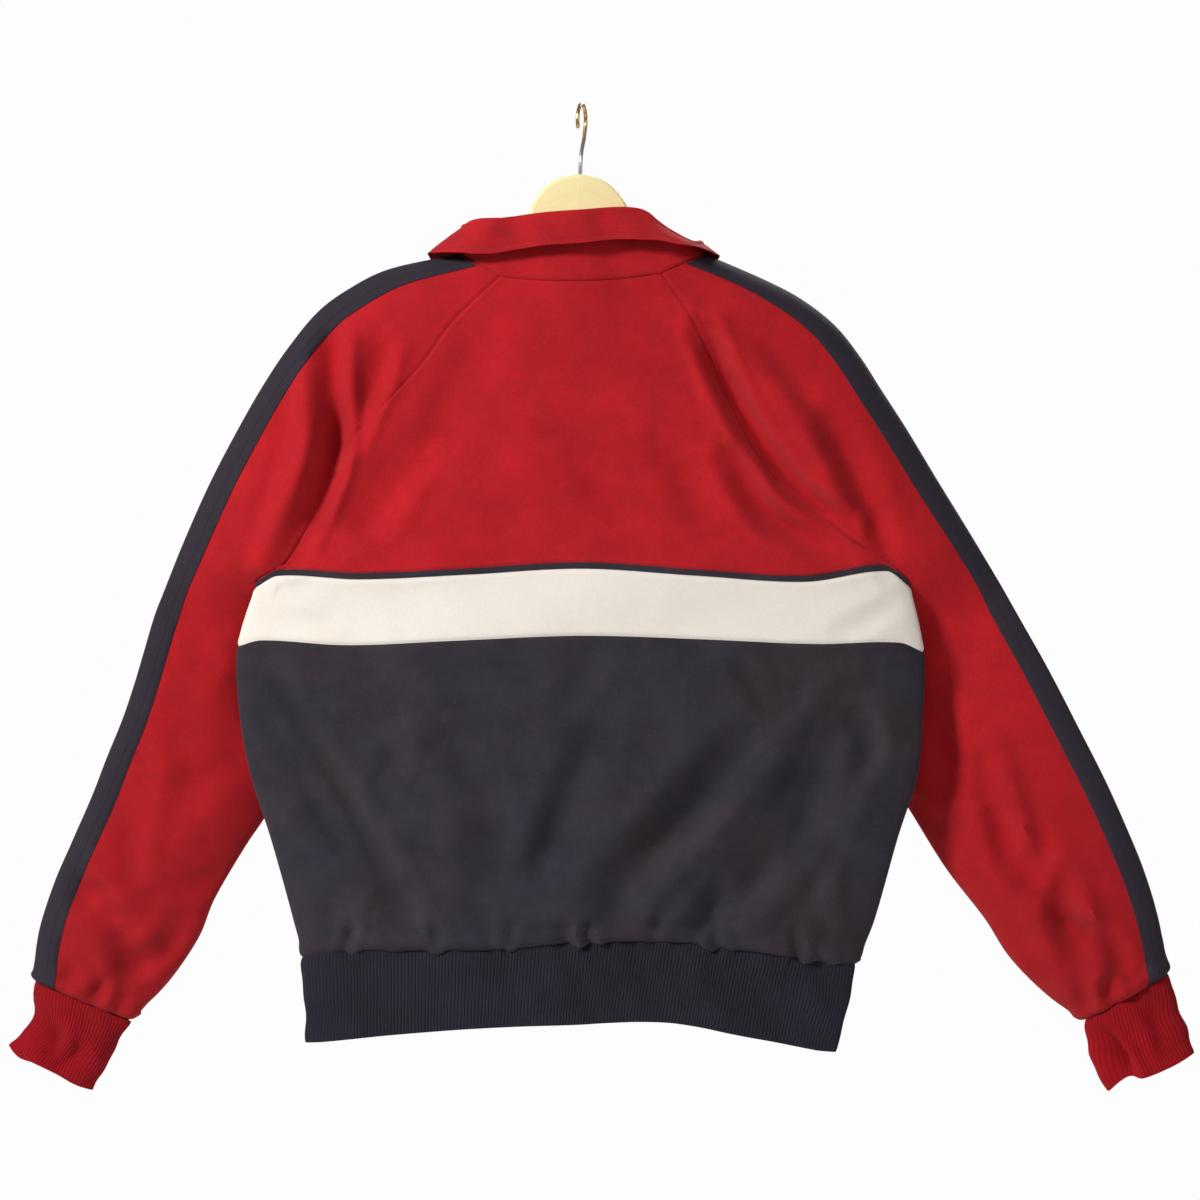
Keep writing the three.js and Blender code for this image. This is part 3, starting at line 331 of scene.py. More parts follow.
def smooth(values, at):
    """Smooth value at fractional rows, through every row"""
    values = np.asarray(values, float)
    at = np.asarray(at, float)
    before = 2 * values[:1] - values[1:2]
    after = 2 * values[-1:] - values[-2:-1]
    padded = np.concatenate([before, values, after])
    first = np.clip(np.floor(at).astype(int), 0, len(values) - 2)
    t = at - first
    if values.ndim == 1:
        p0, p1, p2, p3 = (padded[first + k] for k in range(4))
    else:
        p0, p1, p2, p3 = (np.take_along_axis(padded, (first + k)[None], 0)[0] for k in range(4))
    bend = 2 * p0 - 5 * p1 + 4 * p2 - p3
    return p1 + 0.5 * t * (p2 - p0 + t * (bend + t * (3 * (p1 - p2) + p3 - p0)))


def smooth_along(places, values, at):
    """Smooth value of a table whose rows stand at uneven places"""
    places, values = np.asarray(places, float), np.asarray(values, float)
    k = np.clip(np.searchsorted(places, at, side="right") - 1, 0, len(places) - 2)
    low = np.maximum(np.arange(len(places)) - 1, 0)
    high = np.minimum(np.arange(len(places)) + 1, len(places) - 1)
    slopes = (values[high] - values[low]) / (places[high] - places[low])
    span = places[k + 1] - places[k]
    t = (at - places[k]) / span
    v0, v1, s0, s1 = values[k], values[k + 1], slopes[k] * span, slopes[k + 1] * span
    return v0 + t * (s0 + t * (3 * (v1 - v0) - 2 * s0 - s1 + t * (2 * (v0 - v1) + s0 + s1)))


def unit(v):
    return v / np.maximum(np.linalg.norm(v, axis=-1, keepdims=True), 1e-9)


def read_at(rows, at):
    """Every column of a table at fractional rows"""
    return {name: smooth(values, at) for name, values in rows.items()}


def table(columns, rows):
    return {name: np.array([row[i] for row in rows], float) for i, name in enumerate(columns)}


sleeves = {side: table(SLEEVE_COLUMNS, rows) for side, rows in SLEEVE_TABLES.items()}
for side, sleeve in sleeves.items():
    for i, axis in enumerate("xyz"):
        sleeve["f" + axis] = sleeve["b" + axis].copy()
        seam = np.array([row[i] for row in FRONT_SEAM], float)
        sleeve["f" + axis][: len(seam)] = seam * (SIDE_SIGN[side] if axis == "x" else 1)
levels = table(LEVEL_COLUMNS, list(LEVELS.values()))


def fold_depth(folds, x, z):
    """Sum of the folds at places on a face seen square on"""
    total = np.zeros_like(x)
    for points, depth, above, below in folds:
        knots = np.array(points, float)
        at = np.linspace(0, len(knots) - 1, FOLD_SAMPLES)
        path = np.stack([smooth(knots[:, 0], at), smooth(knots[:, 1], at)], 1)
        reach = 3 * max(above, below)
        low, high = path.min(0) - reach, path.max(0) + reach
        near = (x > low[0]) & (x < high[0]) & (z > low[1]) & (z < high[1])
        if not near.any():
            continue
        px, pz = x[near], z[near]
        nearest = np.full(px.shape, np.inf)
        along = np.zeros_like(px)
        side_of = np.zeros_like(px)
        for k, (a, b) in enumerate(zip(path[:-1], path[1:])):
            leg = b - a
            t = np.clip(((px - a[0]) * leg[0] + (pz - a[1]) * leg[1]) / (leg @ leg), 0, 1)
            dx, dz = px - a[0] - t * leg[0], pz - a[1] - t * leg[1]
            distance = np.hypot(dx, dz)
            closer = distance < nearest
            nearest = np.where(closer, distance, nearest)
            along = np.where(closer, (k + t) / (FOLD_SAMPLES - 1), along)
            side_of = np.where(closer, leg[0] * dz - leg[1] * dx, side_of)
        q = nearest / np.where(side_of > 0, above, below)
        wave = np.sin(np.pi * (FOLD_END + (1 - 2 * FOLD_END) * along))
        fade = np.sqrt(np.maximum(0, wave))
        lip = FOLD_LIP * bell(q, FOLD_LIP_AT, FOLD_LIP_WIDTH)
        total[near] += FOLD_GAIN * depth * fade * (np.exp(-q * q) - lip)
    return total


# Slight unevenness of hanging cloth, a sum of long shallow waves
SWELL_SLOPE = 0.0055
PHASES = (0, 6.28)
SWELLS = [
    (draws.uniform(55, 150), draws.uniform(0, np.pi), draws.uniform(*PHASES)) for _ in range(9)
]


def swell(x, z, finer=1.0, share=1.0):
    total = np.zeros_like(x)
    for length, heading, phase in SWELLS:
        way = (x * np.cos(heading) + z * np.sin(heading)) * finer
        total += share * SWELL_SLOPE * length * np.sin(2 * np.pi * way / length + phase)
    return total


def sleeve_places(side, station, around):
    """Places on a sleeve and the ways into it. around is 0 at the back edge, 1 overarm, 2 front"""
    at = read_at(sleeves[side], station)
    front = around > 1
    way = np.where(front, 1, -1)
    t = np.where(front, 2 - around, around)
    ex, ey, ez = (np.where(front, at["f" + axis], at["b" + axis]) for axis in "xyz")
    closed = np.clip(at["closed"], 0, 1)
    puff = way * np.where(front, at["puff_front"], at["puff_back"])
    x = mix(ex, at["ox"], t)
    z = mix(ez, at["oz"], t)
    open_depth = mix(at["oy"], ey, arc(t))
    closed_depth = mix(ey, at["oy"], t) + puff * arc(2 * t - 1)
    in_front, behind = (fold_depth(f, x, z) for f in (SLEEVE_FRONT_FOLDS, SLEEVE_BACK_FOLDS))
    folds = np.where(front, in_front, behind) + swell(x, z)
    keep = (1 - t**4) * (1 - closed * (1 - t) ** EDGE_CALM)
    y = mix(open_depth, closed_depth, closed) - way * folds * keep
    length = np.hypot(at["ox"] - ex, at["oz"] - ez)
    ax, az = (ex - at["ox"]) / length, (ez - at["oz"]) / length
    overarm = t**EDGE_TURN
    underarm = (1 - t) ** EDGE_TURN
    ring = np.where(station > UNDERARM, np.clip((station - UNDERARM) * 2, 0, 1), 0)
    inner = -underarm * ring
    lift = underarm * closed * (1 - ring)
    middle = -way * (1 - overarm) * (1 - underarm * closed)
    inward = np.stack([ax * (overarm + inner), middle, az * (overarm + inner) + lift], -1)
    return np.stack([x, y, z], -1), unit(inward)


def level_height(u, level):
    heights = np.stack([smooth_along(ACROSS, row, u) for row in LEVEL_HEIGHTS])
    return smooth(heights, level)


def body_places(face, v, level):
    """Places on the body below the piping. v is -1 to 1, on a front from the side to the zip at 0"""
    u = np.sin(np.pi / 2 * v)
    z = level_height(u, level)
    at = read_at(levels, level)
    way = -1 if face == "back" else 1
    x = mix(at["xl"], at["xr"], (u + 1) / 2)
    if face == "front_left":
        x = -ZIP_EDGE + (-ZIP_EDGE - at["xl"]) * u
    if face == "front_right":
        x = ZIP_EDGE + (at["xr"] - ZIP_EDGE) * u
    folds = fold_depth(BACK_FOLDS if way < 0 else FRONT_FOLDS, x, z) + swell(x, z)
    depth = at["back" if way < 0 else "front"]
    y = SIDE_DEPTH + way * (depth * arc(u) - folds * (1 - u**EDGE_CALM))
    to_side = np.abs(u) ** EDGE_TURN
    inward = np.stack([-np.sign(u) * to_side, -way * (1 - to_side), 0 * u], -1)
    return np.stack([x, y, z], -1), unit(inward)


def upper_places(face, v, row):
    """Places on the body above the piping, between the raglan seams, row 0 at the neck"""
    u = np.sin(np.pi / 2 * v)
    way = -1 if face == "back" else 1
    edge = "b" if face == "back" else "f"
    down = row / UNDERARM
    corner = {
        side: [smooth(sleeves[side][edge + axis], row) for axis in "xyz"] for side in sleeves
    }
    closed = np.clip(smooth(sleeves["left"]["closed"], row), 0, 1)
    below = level_height(u, 0 * u)
    shape = mix((1 - u * u) ** 2, arc(u), closed)
    if face == "back":
        (lx, ly, lz), (rx, ry, rz) = corner["left"], corner["right"]
        across = (u + 1) / 2
        x = mix(lx, rx, across)
        dip = below - mix(LEVEL_HEIGHTS[0][0], LEVEL_HEIGHTS[0][-1], across)
        z = mix(lz, rz, across) - NECK_SAG * (1 - u * u) * (1 - down) + dip * down**3
        edge_y = mix(ly, ry, across)
        middle_y = SIDE_DEPTH - levels["back"][0]
    else:
        side = face.split("_")[1]
        sx, edge_y, sz = corner[side]
        zip_x = SIDE_SIGN[side] * ZIP_EDGE
        x = zip_x + (sx - zip_x) * np.abs(u)
        dip = below - sleeves[side]["bz"][UNDERARM]
        neck = (FRONT_NECK - FRONT_SEAM[0][2]) * (1 - u * u) * (1 - down) ** FRONT_NECK_CURVE
        z = sz + neck + dip * down**3
        middle_y = SIDE_DEPTH + levels["front"][0] - FRONT_NECK_SUNK * (1 - down)
    folds = fold_depth(BACK_FOLDS if way < 0 else FRONT_FOLDS, x, z) + swell(x, z)
    y = mix(edge_y, middle_y, shape) - way * folds * (1 - closed * u**EDGE_CALM)
    to_side = np.abs(u) ** EDGE_TURN * closed
    inward = np.stack([0 * u, -way * (1 - to_side), to_side], -1)
    return np.stack([x, y, z], -1), unit(inward)


# Distances along a grid's rows and columns, and what is made from them
def run_lengths(places, axis):
    step = np.linalg.norm(np.diff(places, axis=axis), axis=-1)
    start = np.zeros_like(np.take(step, [0], axis))
    return np.concatenate([start, np.cumsum(step, axis)], axis)


def edge_distances(places):
    across, down = run_lengths(places, 1), run_lengths(places, 0)
    return {
        "first": across,
        "last": across[:, -1:] - across,
        "top": down,
        "bottom": down[-1:] - down,
    }


def cloth_uv(places):
    across, down = run_lengths(places, 1), run_lengths(places, 0)
    middle = across.shape[1] // 2
    return np.stack([across - across[:, middle : middle + 1], -down], -1) * MM


SEAM_DIP = 1.1
SEAM_DIP_WIDTH = 1.6
SEAM_RIDGE = 0.35
SEAM_RIDGE_AT = 4.0
SEAM_RIDGE_WIDTH = 2.4
RAGLAN_SHARE = 0.6


def sewn_edges(places, inward, edges, rows=slice(None), share=1.0):
    """Turns a panel's sewn edges in, with the seam allowance as a slight ridge beside them"""
    distances = edge_distances(places)
    for edge in edges:
        d = distances[edge][rows]
        dip = SEAM_DIP * bell(d, 0, SEAM_DIP_WIDTH)
        ridge = SEAM_RIDGE * bell(d, SEAM_RIDGE_AT, SEAM_RIDGE_WIDTH)
        places[rows] += inward[rows] * (share * (dip - ridge))[..., None]


def quads(index, uv):
    """Corner numbers and corner UVs of every quad of a grid of vertex numbers"""
    corners = [np.s_[:-1, :-1], np.s_[:-1, 1:], np.s_[1:, 1:], np.s_[1:, :-1]]
    faces = np.stack([index[c] for c in corners], -1).reshape(-1, 4)
    spots = np.stack([uv[c] for c in corners], -2).reshape(-1, 4, 2)
    return faces, spots


def linked(name, data):
    made = bpy.data.objects.new(name, data)
    bpy.context.collection.objects.link(made)
    return made


def bare_mesh(name, vertices, faces, material):
    mesh = bpy.data.meshes.new(name)
    mesh.from_pydata((np.asarray(vertices) * MM).tolist(), [], faces)
    mesh.materials.append(material)
    return mesh


def smooth_faces(mesh):
    mesh.polygons.foreach_set("use_smooth", [True] * len(mesh.polygons))


def at_length(run, length, values):
    """The three numbers of a line at a run length along it"""
    return np.array([np.interp(run, length, values[:, k]) for k in range(3)])


def ring_faces(first, rings, sides, flip=False):
    """Corner numbers of a closed solid of rings of vertices with two flat ends"""
    faces = []
    for start in range(first, first + (rings - 1) * sides, sides):
        for k in range(sides):
            a, b = start + k, start + (k + 1) % sides
            faces.append((a, b, b + sides, a + sides))
    last = first + (rings - 1) * sides
    faces.append(tuple(reversed(range(first, first + sides))))
    faces.append(tuple(range(last, last + sides)))
    return [face[::-1] for face in faces] if flip else faces


SMOOTH_ANGLE = math.radians(60)


def cloth_piece(name, vertices, faces, spots, material):
    """A mesh object from corner numbers and corner UVs, its faces turned outwards"""
    a, b, c, d = (vertices[faces[:, k]] for k in range(4))
    volume = np.einsum("ij,ij->", a, np.cross(b, c)) + np.einsum("ij,ij->", a, np.cross(c, d))
    if volume < 0:
        faces, spots = faces[:, ::-1], spots[:, ::-1]
    mesh = bare_mesh(name, vertices, faces.tolist(), material)
    layer = mesh.uv_layers.new(name="cloth")
    layer.data.foreach_set("uv", spots.reshape(-1).astype(np.float32))
    smooth_faces(mesh)
    mesh.set_sharp_from_angle(angle=SMOOTH_ANGLE)
    return linked(name, mesh)


def shell(name, places, inward, thickness, material, tube_from=None, uv=None):
    """A closed thin wall through a grid of places. From row tube_from on its columns meet"""
    rows, columns = places.shape[:2]
    tube_from = rows if tube_from is None else tube_from
    uv = cloth_uv(places) if uv is None else uv
    outer = np.arange(rows * columns).reshape(rows, columns)
    outer[tube_from:, -1] = outer[tube_from:, 0]
    inner = outer + rows * columns
    skin = places.reshape(-1, 3)
    lining = (places + inward * thickness).reshape(-1, 3)
    parts = [quads(outer, uv), quads(inner[:, ::-1], uv[:, ::-1])]
    rims = [(inner[0], outer[0], uv[0]), (outer[-1], inner[-1], uv[-1])]
    if tube_from > 0:
        open_rows = slice(0, tube_from + 1)
        for edge, one, other in [(0, outer, inner), (-1, inner, outer)]:
            rims.append((one[open_rows, edge], other[open_rows, edge], uv[open_rows, edge]))
    for one, other, spot in rims:
        parts.append(quads(np.stack([one, other]), np.stack([spot, spot])))
    faces = np.concatenate([f for f, _ in parts])
    spots = np.concatenate([s for _, s in parts])
    vertices = np.concatenate([skin, lining])
    used = np.unique(faces)
    number = np.zeros(len(vertices), int)
    number[used] = np.arange(len(used))
    return cloth_piece(name, vertices[used], number[faces], spots, material)


# Shader maths
class Value:
    """A socket with arithmetic, each operation a Math node"""

    def __init__(self, shade, socket):
        self.shade = shade
        self.socket = socket

    def math(self, operation, *others):
        node = self.shade.tree.nodes.new("ShaderNodeMath")
        node.operation = operation
        for k, value in enumerate(others):
            self.shade.put(node.inputs[k], value)
        return Value(self.shade, node.outputs[0])

    def __add__(self, other):
        return self.math("ADD", self, other)

    def __sub__(self, other):
        return self.math("SUBTRACT", self, other)

    def __rsub__(self, other):
        return self.math("SUBTRACT", other, self)

    def __mul__(self, other):
        return self.math("MULTIPLY", self, other)

    def __truediv__(self, other):
        return self.math("DIVIDE", self, other)

    def __pow__(self, other):
        return self.math("POWER", self, other)

    __radd__ = __add__
    __rmul__ = __mul__

    def sine(self):
        return self.math("SINE", self)

    def size(self):
        return self.math("ABSOLUTE", self)

    def part(self):
        return self.math("FRACT", self)

    def clear_of(self, low, high):
        """0 below low, 1 above high"""
        span = (self - low) / (high - low)
        return self.math("MAXIMUM", self.math("MINIMUM", span, 1.0), 0.0)


class Shade:
    """The node tree of one material"""

    def __init__(self, name, **uniform):
        self.material = bpy.data.materials.new(name)
        self.material.use_nodes = True
        self.tree = self.material.node_tree
        self.surface = self.tree.nodes["Principled BSDF"]
        for key, value in uniform.items():
            self.surface.inputs[key.replace("_", " ")].default_value = value

    def put(self, socket, value):
        if isinstance(value, Value):
            self.tree.links.new(value.socket, socket)
        else:
            socket.default_value = value

    def node(self, kind, settings=None, inputs=None, output=0):
        node = self.tree.nodes.new("ShaderNode" + kind)
        for key, value in (settings or {}).items():
            setattr(node, key, value)
        for key, value in (inputs or {}).items():
            self.put(node.inputs[key], value)
        return Value(self, node.outputs[output])

    def spot(self, output):
        return self.node("TexCoord", output=output)

    def split(self, vector):
        return [self.node("SeparateXYZ", inputs={0: vector}, output=k) for k in range(3)]

    def noise(self, vector, scale, detail=2.0, rough=0.5):
        inputs = {"Vector": vector, "Scale": scale, "Detail": detail, "Roughness": rough}
        return self.node("TexNoise", inputs=inputs)

    def blend(self, share, first, second):
        inputs = {0: share, 6: first, 7: second}
        return self.node("Mix", {"data_type": "RGBA"}, inputs, output=2)

    def tones(self, share, colour, dark, light):
        """One colour from its darker to its lighter tone"""
        return self.blend(share, shaded(colour, dark), shaded(colour, light))

    def finished(self, colour, roughness, height=None, distance=0.0):
        """The material with its colour, its roughness and, if given, its relief in metres"""
        self.put(self.surface.inputs["Base Color"], colour)
        self.put(self.surface.inputs["Roughness"], roughness)
        if height:
            bump = self.node("Bump", inputs={"Strength": 1.0, "Distance": distance, "Height": height})
            self.put(self.surface.inputs["Normal"], bump)
        return self.material


def shaded(colour, factor):
    return tuple(min(1.0, c * factor) for c in colour) + (1.0,)


WHOLE_TURN = 2 * math.pi
WALE_PITCH = 1.15
COURSE_PITCH = 0.8 * WALE_PITCH
NAP_DEPTH = 0.00022
LINT_GREY = (0.2, 0.19, 0.2, 1)
PAINTED_SHADE_FROM, PAINTED_SHADE_TO = -0.48, -0.74  # metres below the hook between which painted shade darkens the sleeves towards the cuffs


def brushed(name, colour, sheen, gloss):
    """The start of a knit, with the soft light of a short pile"""
    tint = shaded([0.35 + 0.6 * c for c in colour], 1)
    pile = {"Sheen_Weight": sheen, "Sheen_Roughness": 0.55, "Sheen_Tint": tint}
    return Shade(name, Specular_IOR_Level=gloss, **pile)


def knit(name, colour, fade, sheen, dye_and_stitch_shade=1.0, lint=0.0, painted_shade=0.0, second=None):
    """Brushed jersey: two slanted legs to each wale with painted shade between the loops, uneven dye,
    a short pile and, if given, painted shade low down
    """
    made = brushed(name, colour, sheen, 0.22)
    across, down, _ = made.split(made.spot("UV"))
    wale = (across / (WALE_PITCH * MM)).part()
    legs = (wale * WHOLE_TURN).sine().size()
    slant = (wale * 2 - 1).size()
    course = (down / (COURSE_PITCH * MM) + slant * 0.5) * WHOLE_TURN
    loop = legs * (0.7 + course.sine() * 0.3)
    place = made.spot("Object")
    pile = made.noise(place, 2600, 3.0, 0.6)
    dye = made.noise(place, 9, 4.0, 0.55)
    mottle = made.noise(place, 420, 3.0, 0.6)
    cloud = made.noise(place, 34, 4.0, 0.6)
    grain = made.noise(place, 1100, 2.0, 0.7)
    light = 0.5 + (dye - 0.5) * fade + (cloud - 0.5) * 2 * fade
    # Uneven dye in the mottle and grain, and painted shade between the stitch loops
    light = light + ((mottle - 0.5) * 0.8 + (grain - 0.5) * 1.3 + (loop - 0.5) * 0.3) * dye_and_stitch_shade
    light = light.clear_of(0.0, 1.0)
    base = made.tones(light, colour, 0.7, 1.3)
    if second:
        patch = made.noise(place, 13, 3.0, 0.6).clear_of(0.38, 0.62)
        base = made.blend(patch, base, made.tones(light, second, 0.7, 1.3))
    if lint:
        specks = made.noise(place, 1300, 1.0, 0.4).clear_of(0.74, 0.82) * lint
        base = made.blend(specks, base, LINT_GREY)
    # Painted shade: the colour darkens towards the cuffs, for the light falling off low on the jacket
    if painted_shade:
        height = made.split(place)[2] + (cloud - 0.5) * 0.1
        ends = 1 - height.clear_of(PAINTED_SHADE_TO, PAINTED_SHADE_FROM)
        base = made.blend(ends * painted_shade, base, shaded(colour, 0.4))
    return made.finished(base, 0.78 + mottle * 0.2, loop * 0.6 + pile * 0.7 + mottle * 0.6, NAP_DEPTH)


def rib_knit(name, colour, sheen):
    """Rib knit: stitch rows along each raised rib, with painted shade down in the grooves"""
    made = brushed(name, colour, sheen, 0.2)
    across, down, _ = made.split(made.spot("UV"))
    rib = (across / (RIB_PITCH * MM)).part()
    groove = (rib * 2 - 1).size() ** 3
    wale = (across / (RIB_PITCH / 3 * MM)).part()
    slant = (wale * 2 - 1).size()
    course = (down / (0.9 * MM) + slant * 0.5) * WHOLE_TURN
    place = made.spot("Object")
    pile = made.noise(place, 2400, 3.0, 0.6)
    dye = made.noise(place, 14, 3.0, 0.5)
    # Painted shade: the colour darkens down in each groove between the ribs
    light = (1 - groove) * 0.6 + (pile - 0.5) * 0.5 + (dye - 0.5) * 1.3
    base = made.tones(light.clear_of(0.0, 0.85), colour, 0.6, 1.3)
    return made.finished(base, 0.8 + pile * 0.18, course.sine() * 0.4 + pile * 0.8, NAP_DEPTH)


def woven(name, colour, pitch):
    """Firm woven or knitted tape with a crosswise cord, painted lighter where the cord stands up and
    darker between
    """
    made = Shade(name, Specular_IOR_Level=0.3)
    across, down, _ = made.split(made.spot("UV"))
    cross = (down / (pitch * MM) * WHOLE_TURN).sine()
    run = (across / (0.9 * pitch * MM) * WHOLE_TURN).sine()
    weave = cross * run
    pile = made.noise(made.spot("Object"), 2200, 3.0, 0.6)
    # Painted shade and highlight of the weave: lighter on its raised crossings, darker between
    light = weave * 0.2 + (pile - 0.5) * 0.7 + 0.5
    base = made.tones(light.clear_of(0.0, 1.0), colour, 0.75, 1.25)
    return made.finished(base, 0.72 + pile * 0.2, weave * 0.5 + pile * 0.6, 0.0002)


def thread(name, colour):
    """Sewing thread with a twist"""
    made = Shade(name, Specular_IOR_Level=0.35)
    twist = made.noise(made.spot("Object"), 3000, 2.0, 0.5)
    return made.finished(made.tones(twist, colour, 0.8, 1.25), 0.55 + twist * 0.2, twist, 0.0001)


def metal(name, colour, rough, second=None):
    """Plated metal with fine rubbing marks, and a second colour low on the piece if given"""
    made = Shade(name, Metallic=1.0)
    place = made.spot("Object")
    marks = made.noise(place, 700, 4.0, 0.6)
    base = made.tones(marks, colour, 0.88, 1.1)
    if second:
        cloud = made.noise(place, 60, 2.0, 0.5)
        share = (made.split(place)[2] + (cloud - 0.5) * 0.02).clear_of(-0.032, -0.018)
        base = made.blend(share, shaded(second, 1), base)
    return made.finished(base, rough + marks * 0.16, marks, 0.00002)


def beech(name, colour):
    """Pale wood in two halves that meet in the middle, the grain running out along each arm"""
    made = Shade(name, Specular_IOR_Level=0.4, Coat_Weight=0.18, Coat_Roughness=0.35)
    x, y, z = made.split(made.spot("Object"))
    arm = x.size()
    along = arm * 0.9 - z * 0.42
    over = z + arm * 0.42

    def streaks(long, deep, high, detail, rough):
        inputs = {0: along * long, 1: y * deep, 2: over * high}
        return made.noise(made.node("CombineXYZ", inputs=inputs), 1.0, detail, rough)

    grain = streaks(9, 60, 95, 5.0, 0.6)
    rings = streaks(3, 14, 26, 3.0, 0.5)
    fleck = streaks(60, 300, 700, 2.0, 0.5)
    half = (x / 0.0006).clear_of(-1, 1)
    joint = 1 - ((x + 0.0015) / 0.0005).size().clear_of(0.4, 1.0)
    tone = grain * 0.55 + rings * 0.5 + (fleck - 0.5) * 0.25 + half * 0.05
    base = made.tones(tone.clear_of(0.3, 0.85), colour, 1.05, 0.84)
    base = made.blend(joint * 0.14, base, shaded(colour, 0.5))
    return made.finished(base, 0.42 + grain * 0.2, grain * 0.4 + fleck * 0.6, 0.00012)


def teeth_plastic(name, colour):
    """Moulded polyester teeth, slightly glossy on their crowns"""
    made = Shade(name, Specular_IOR_Level=0.5)
    grain = made.noise(made.spot("Object"), 1500, 3.0, 0.6)
    return made.finished(made.tones(grain, colour, 1.0, 1.6), 0.36 + grain * 0.16, grain, 0.00003)


RED = (0.445, 0.006, 0.011)
CUFF_RED = (0.30, 0.001, 0.006)
NAVY = (0.033, 0.0237, 0.0315)
NAVY_TINT = (0.0255, 0.023, 0.0345)  # patches where the dye has kept its blue
RIB_NAVY = (0.0165, 0.0145, 0.026)
TAPE_NAVY = (0.028, 0.020, 0.032)
CREAM = (1.0, 0.815, 0.703)
FINISH = {
    "red_jersey": knit("red_brushed_jersey", RED, fade=0.5, sheen=0.13),
    # The sleeves' cloth, with painted shade towards the cuffs
    "sleeve_jersey": knit("red_sleeve_jersey", RED, fade=0.5, sheen=0.1, painted_shade=0.42),
    "navy_jersey": knit("navy_brushed_jersey", NAVY, fade=0.9, sheen=0.16, lint=0.5, second=NAVY_TINT),
    "white_jersey": knit("cream_brushed_jersey", CREAM, fade=0.1, sheen=0.06, dye_and_stitch_shade=0.25),
    "navy_rib": rib_knit("navy_rib_knit", RIB_NAVY, sheen=0.14),
    "red_rib": rib_knit("red_rib_knit", CUFF_RED, sheen=0.06),
    "sleeve_tape": woven("navy_sleeve_tape", TAPE_NAVY, pitch=0.7),
    "zip_tape": woven("navy_zip_tape", NAVY, pitch=0.9),
    "zip_teeth": teeth_plastic("moulded_teeth", NAVY),
    "zip_metal": metal("nickel_plate", (0.62, 0.61, 0.6), 0.2),
    "hook_metal": metal("gilt_wire", (0.82, 0.56, 0.24), 0.14, second=(0.72, 0.62, 0.6)),
    "hanger_wood": beech("pale_beech", (1.0, 0.85, 0.43)),
    "red_thread": thread("red_thread", (0.30, 0.012, 0.02)),
    "navy_thread": thread("navy_thread", (0.022, 0.018, 0.03)),
    "cream_thread": thread("cream_thread", (0.84, 0.74, 0.66)),
}


def dress(piece, node=None, cut=None, sewn=()):
    """Attaches a piece to the jacket and hides the solid it stands for, if given; its cut and what is
    sewn to it are not used
    """
    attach(piece, "jacket")
    if node:
        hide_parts(node)
    return piece


def cut_of(places):
    """Flat width and length in metres and area in square metres of what shows of a cut piece"""
    width = run_lengths(places, 1)[:, -1].max() * MM
    length = run_lengths(places, 0)[-1].max() * MM
    a, b, c, d = places[:-1, :-1], places[:-1, 1:], places[1:, 1:], places[1:, :-1]
    area = np.linalg.norm(np.cross(c - a, d - b), axis=-1).sum() / 2 * MM * MM
    return (float(width), float(length)), float(min(area, width * length))


def beside(places, inward, edge, gap):
    """The line at a distance from one edge of a grid, with the way out of the cloth"""
    distance = edge_distances(places)[edge]
    if edge in ("top", "bottom"):
        distance, places, inward = distance.T, places.swapaxes(0, 1), inward.swapaxes(0, 1)
    if edge in ("bottom", "last"):
        distance, places, inward = distance[:, ::-1], places[:, ::-1], inward[:, ::-1]
    line = [at_length(gap, d, row) for d, row in zip(distance, places)]
    out = [-at_length(gap, d, row) for d, row in zip(distance, inward)]
    return np.array(line)[2:-2], np.array(out)[2:-2]


# Stitches: low beads of thread along a line of places with the ways out of the cloth
STITCH_PITCH = 3.1
STITCH_LENGTH = 2.3
STITCH_RADIUS = 0.33
STITCH_FLATNESS = 1.15
STITCH_LIFT = 0.12
BEAD_RINGS = [(-0.5, 0.35), (-0.28, 1.0), (0.28, 1.0), (0.5, 0.35)]
BEAD_SIDES = 6


def stitches(name, lines, material):
    """One piece with a bead for every stitch of several lines"""
    vertices, faces = [], []
    for places, outward in lines:
        length = run_lengths(places[None], 1)[0]
        middles = np.arange(STITCH_PITCH, length[-1] - STITCH_PITCH / 2, STITCH_PITCH)
        for middle in middles:
            start, end = (at_length(middle + step, length, places) for step in (-0.5, 0.5))
            out = unit(at_length(middle, length, outward))
            run = unit(end - start)
            side = unit(np.cross(run, out))
            centre = (start + end) / 2 + out * STITCH_LIFT
            faces += ring_faces(len(vertices), len(BEAD_RINGS), BEAD_SIDES)
            for along, share in BEAD_RINGS:
                for k in range(BEAD_SIDES):
                    angle = 2 * math.pi * k / BEAD_SIDES
                    ring = side * math.cos(angle) * STITCH_FLATNESS + out * math.sin(angle)
                    ring = ring * share * STITCH_RADIUS
                    vertices.append(centre + run * along * STITCH_LENGTH + ring)
    mesh = bare_mesh(name, vertices, faces, material)
    smooth_faces(mesh)
    return linked(name, mesh)


# Panels of the body
def grid_of(rows, columns):
    return np.meshgrid(np.asarray(rows, float), np.asarray(columns, float), indexing="ij")


def near_ends(count, first, last):
    """Even steps with a few more close to both ends, for the sewn edges"""
    step = (last - first) / count
    close = step * np.array([0.12, 0.3, 0.6])
    return np.sort(np.concatenate([np.linspace(first, last, count + 1), first + close, last - close]))


COLUMNS = {
    "back": np.linspace(-1, 1, 161),
    "front_left": np.linspace(-1, 0, 85),
    "front_right": np.linspace(0, 1, 85),
}
NODE_NAME = {
    "back": "back_{}",
    "front_left": "front_{}_left",
    "front_right": "front_{}_right",
}
GATHER_WAVES = 6
GATHER_CLEAR = 2.5  # the ripples start this far from the seam itself
HEM_GATHER = {"reach": 16, "depth": 1.3, "seed": 5}
SLEEVE_GATHERS = {
    "left": {"reach": 12, "depth": 1.5, "seed": 8},
    "right": {"reach": 12, "depth": 1.5, "seed": 9},
}


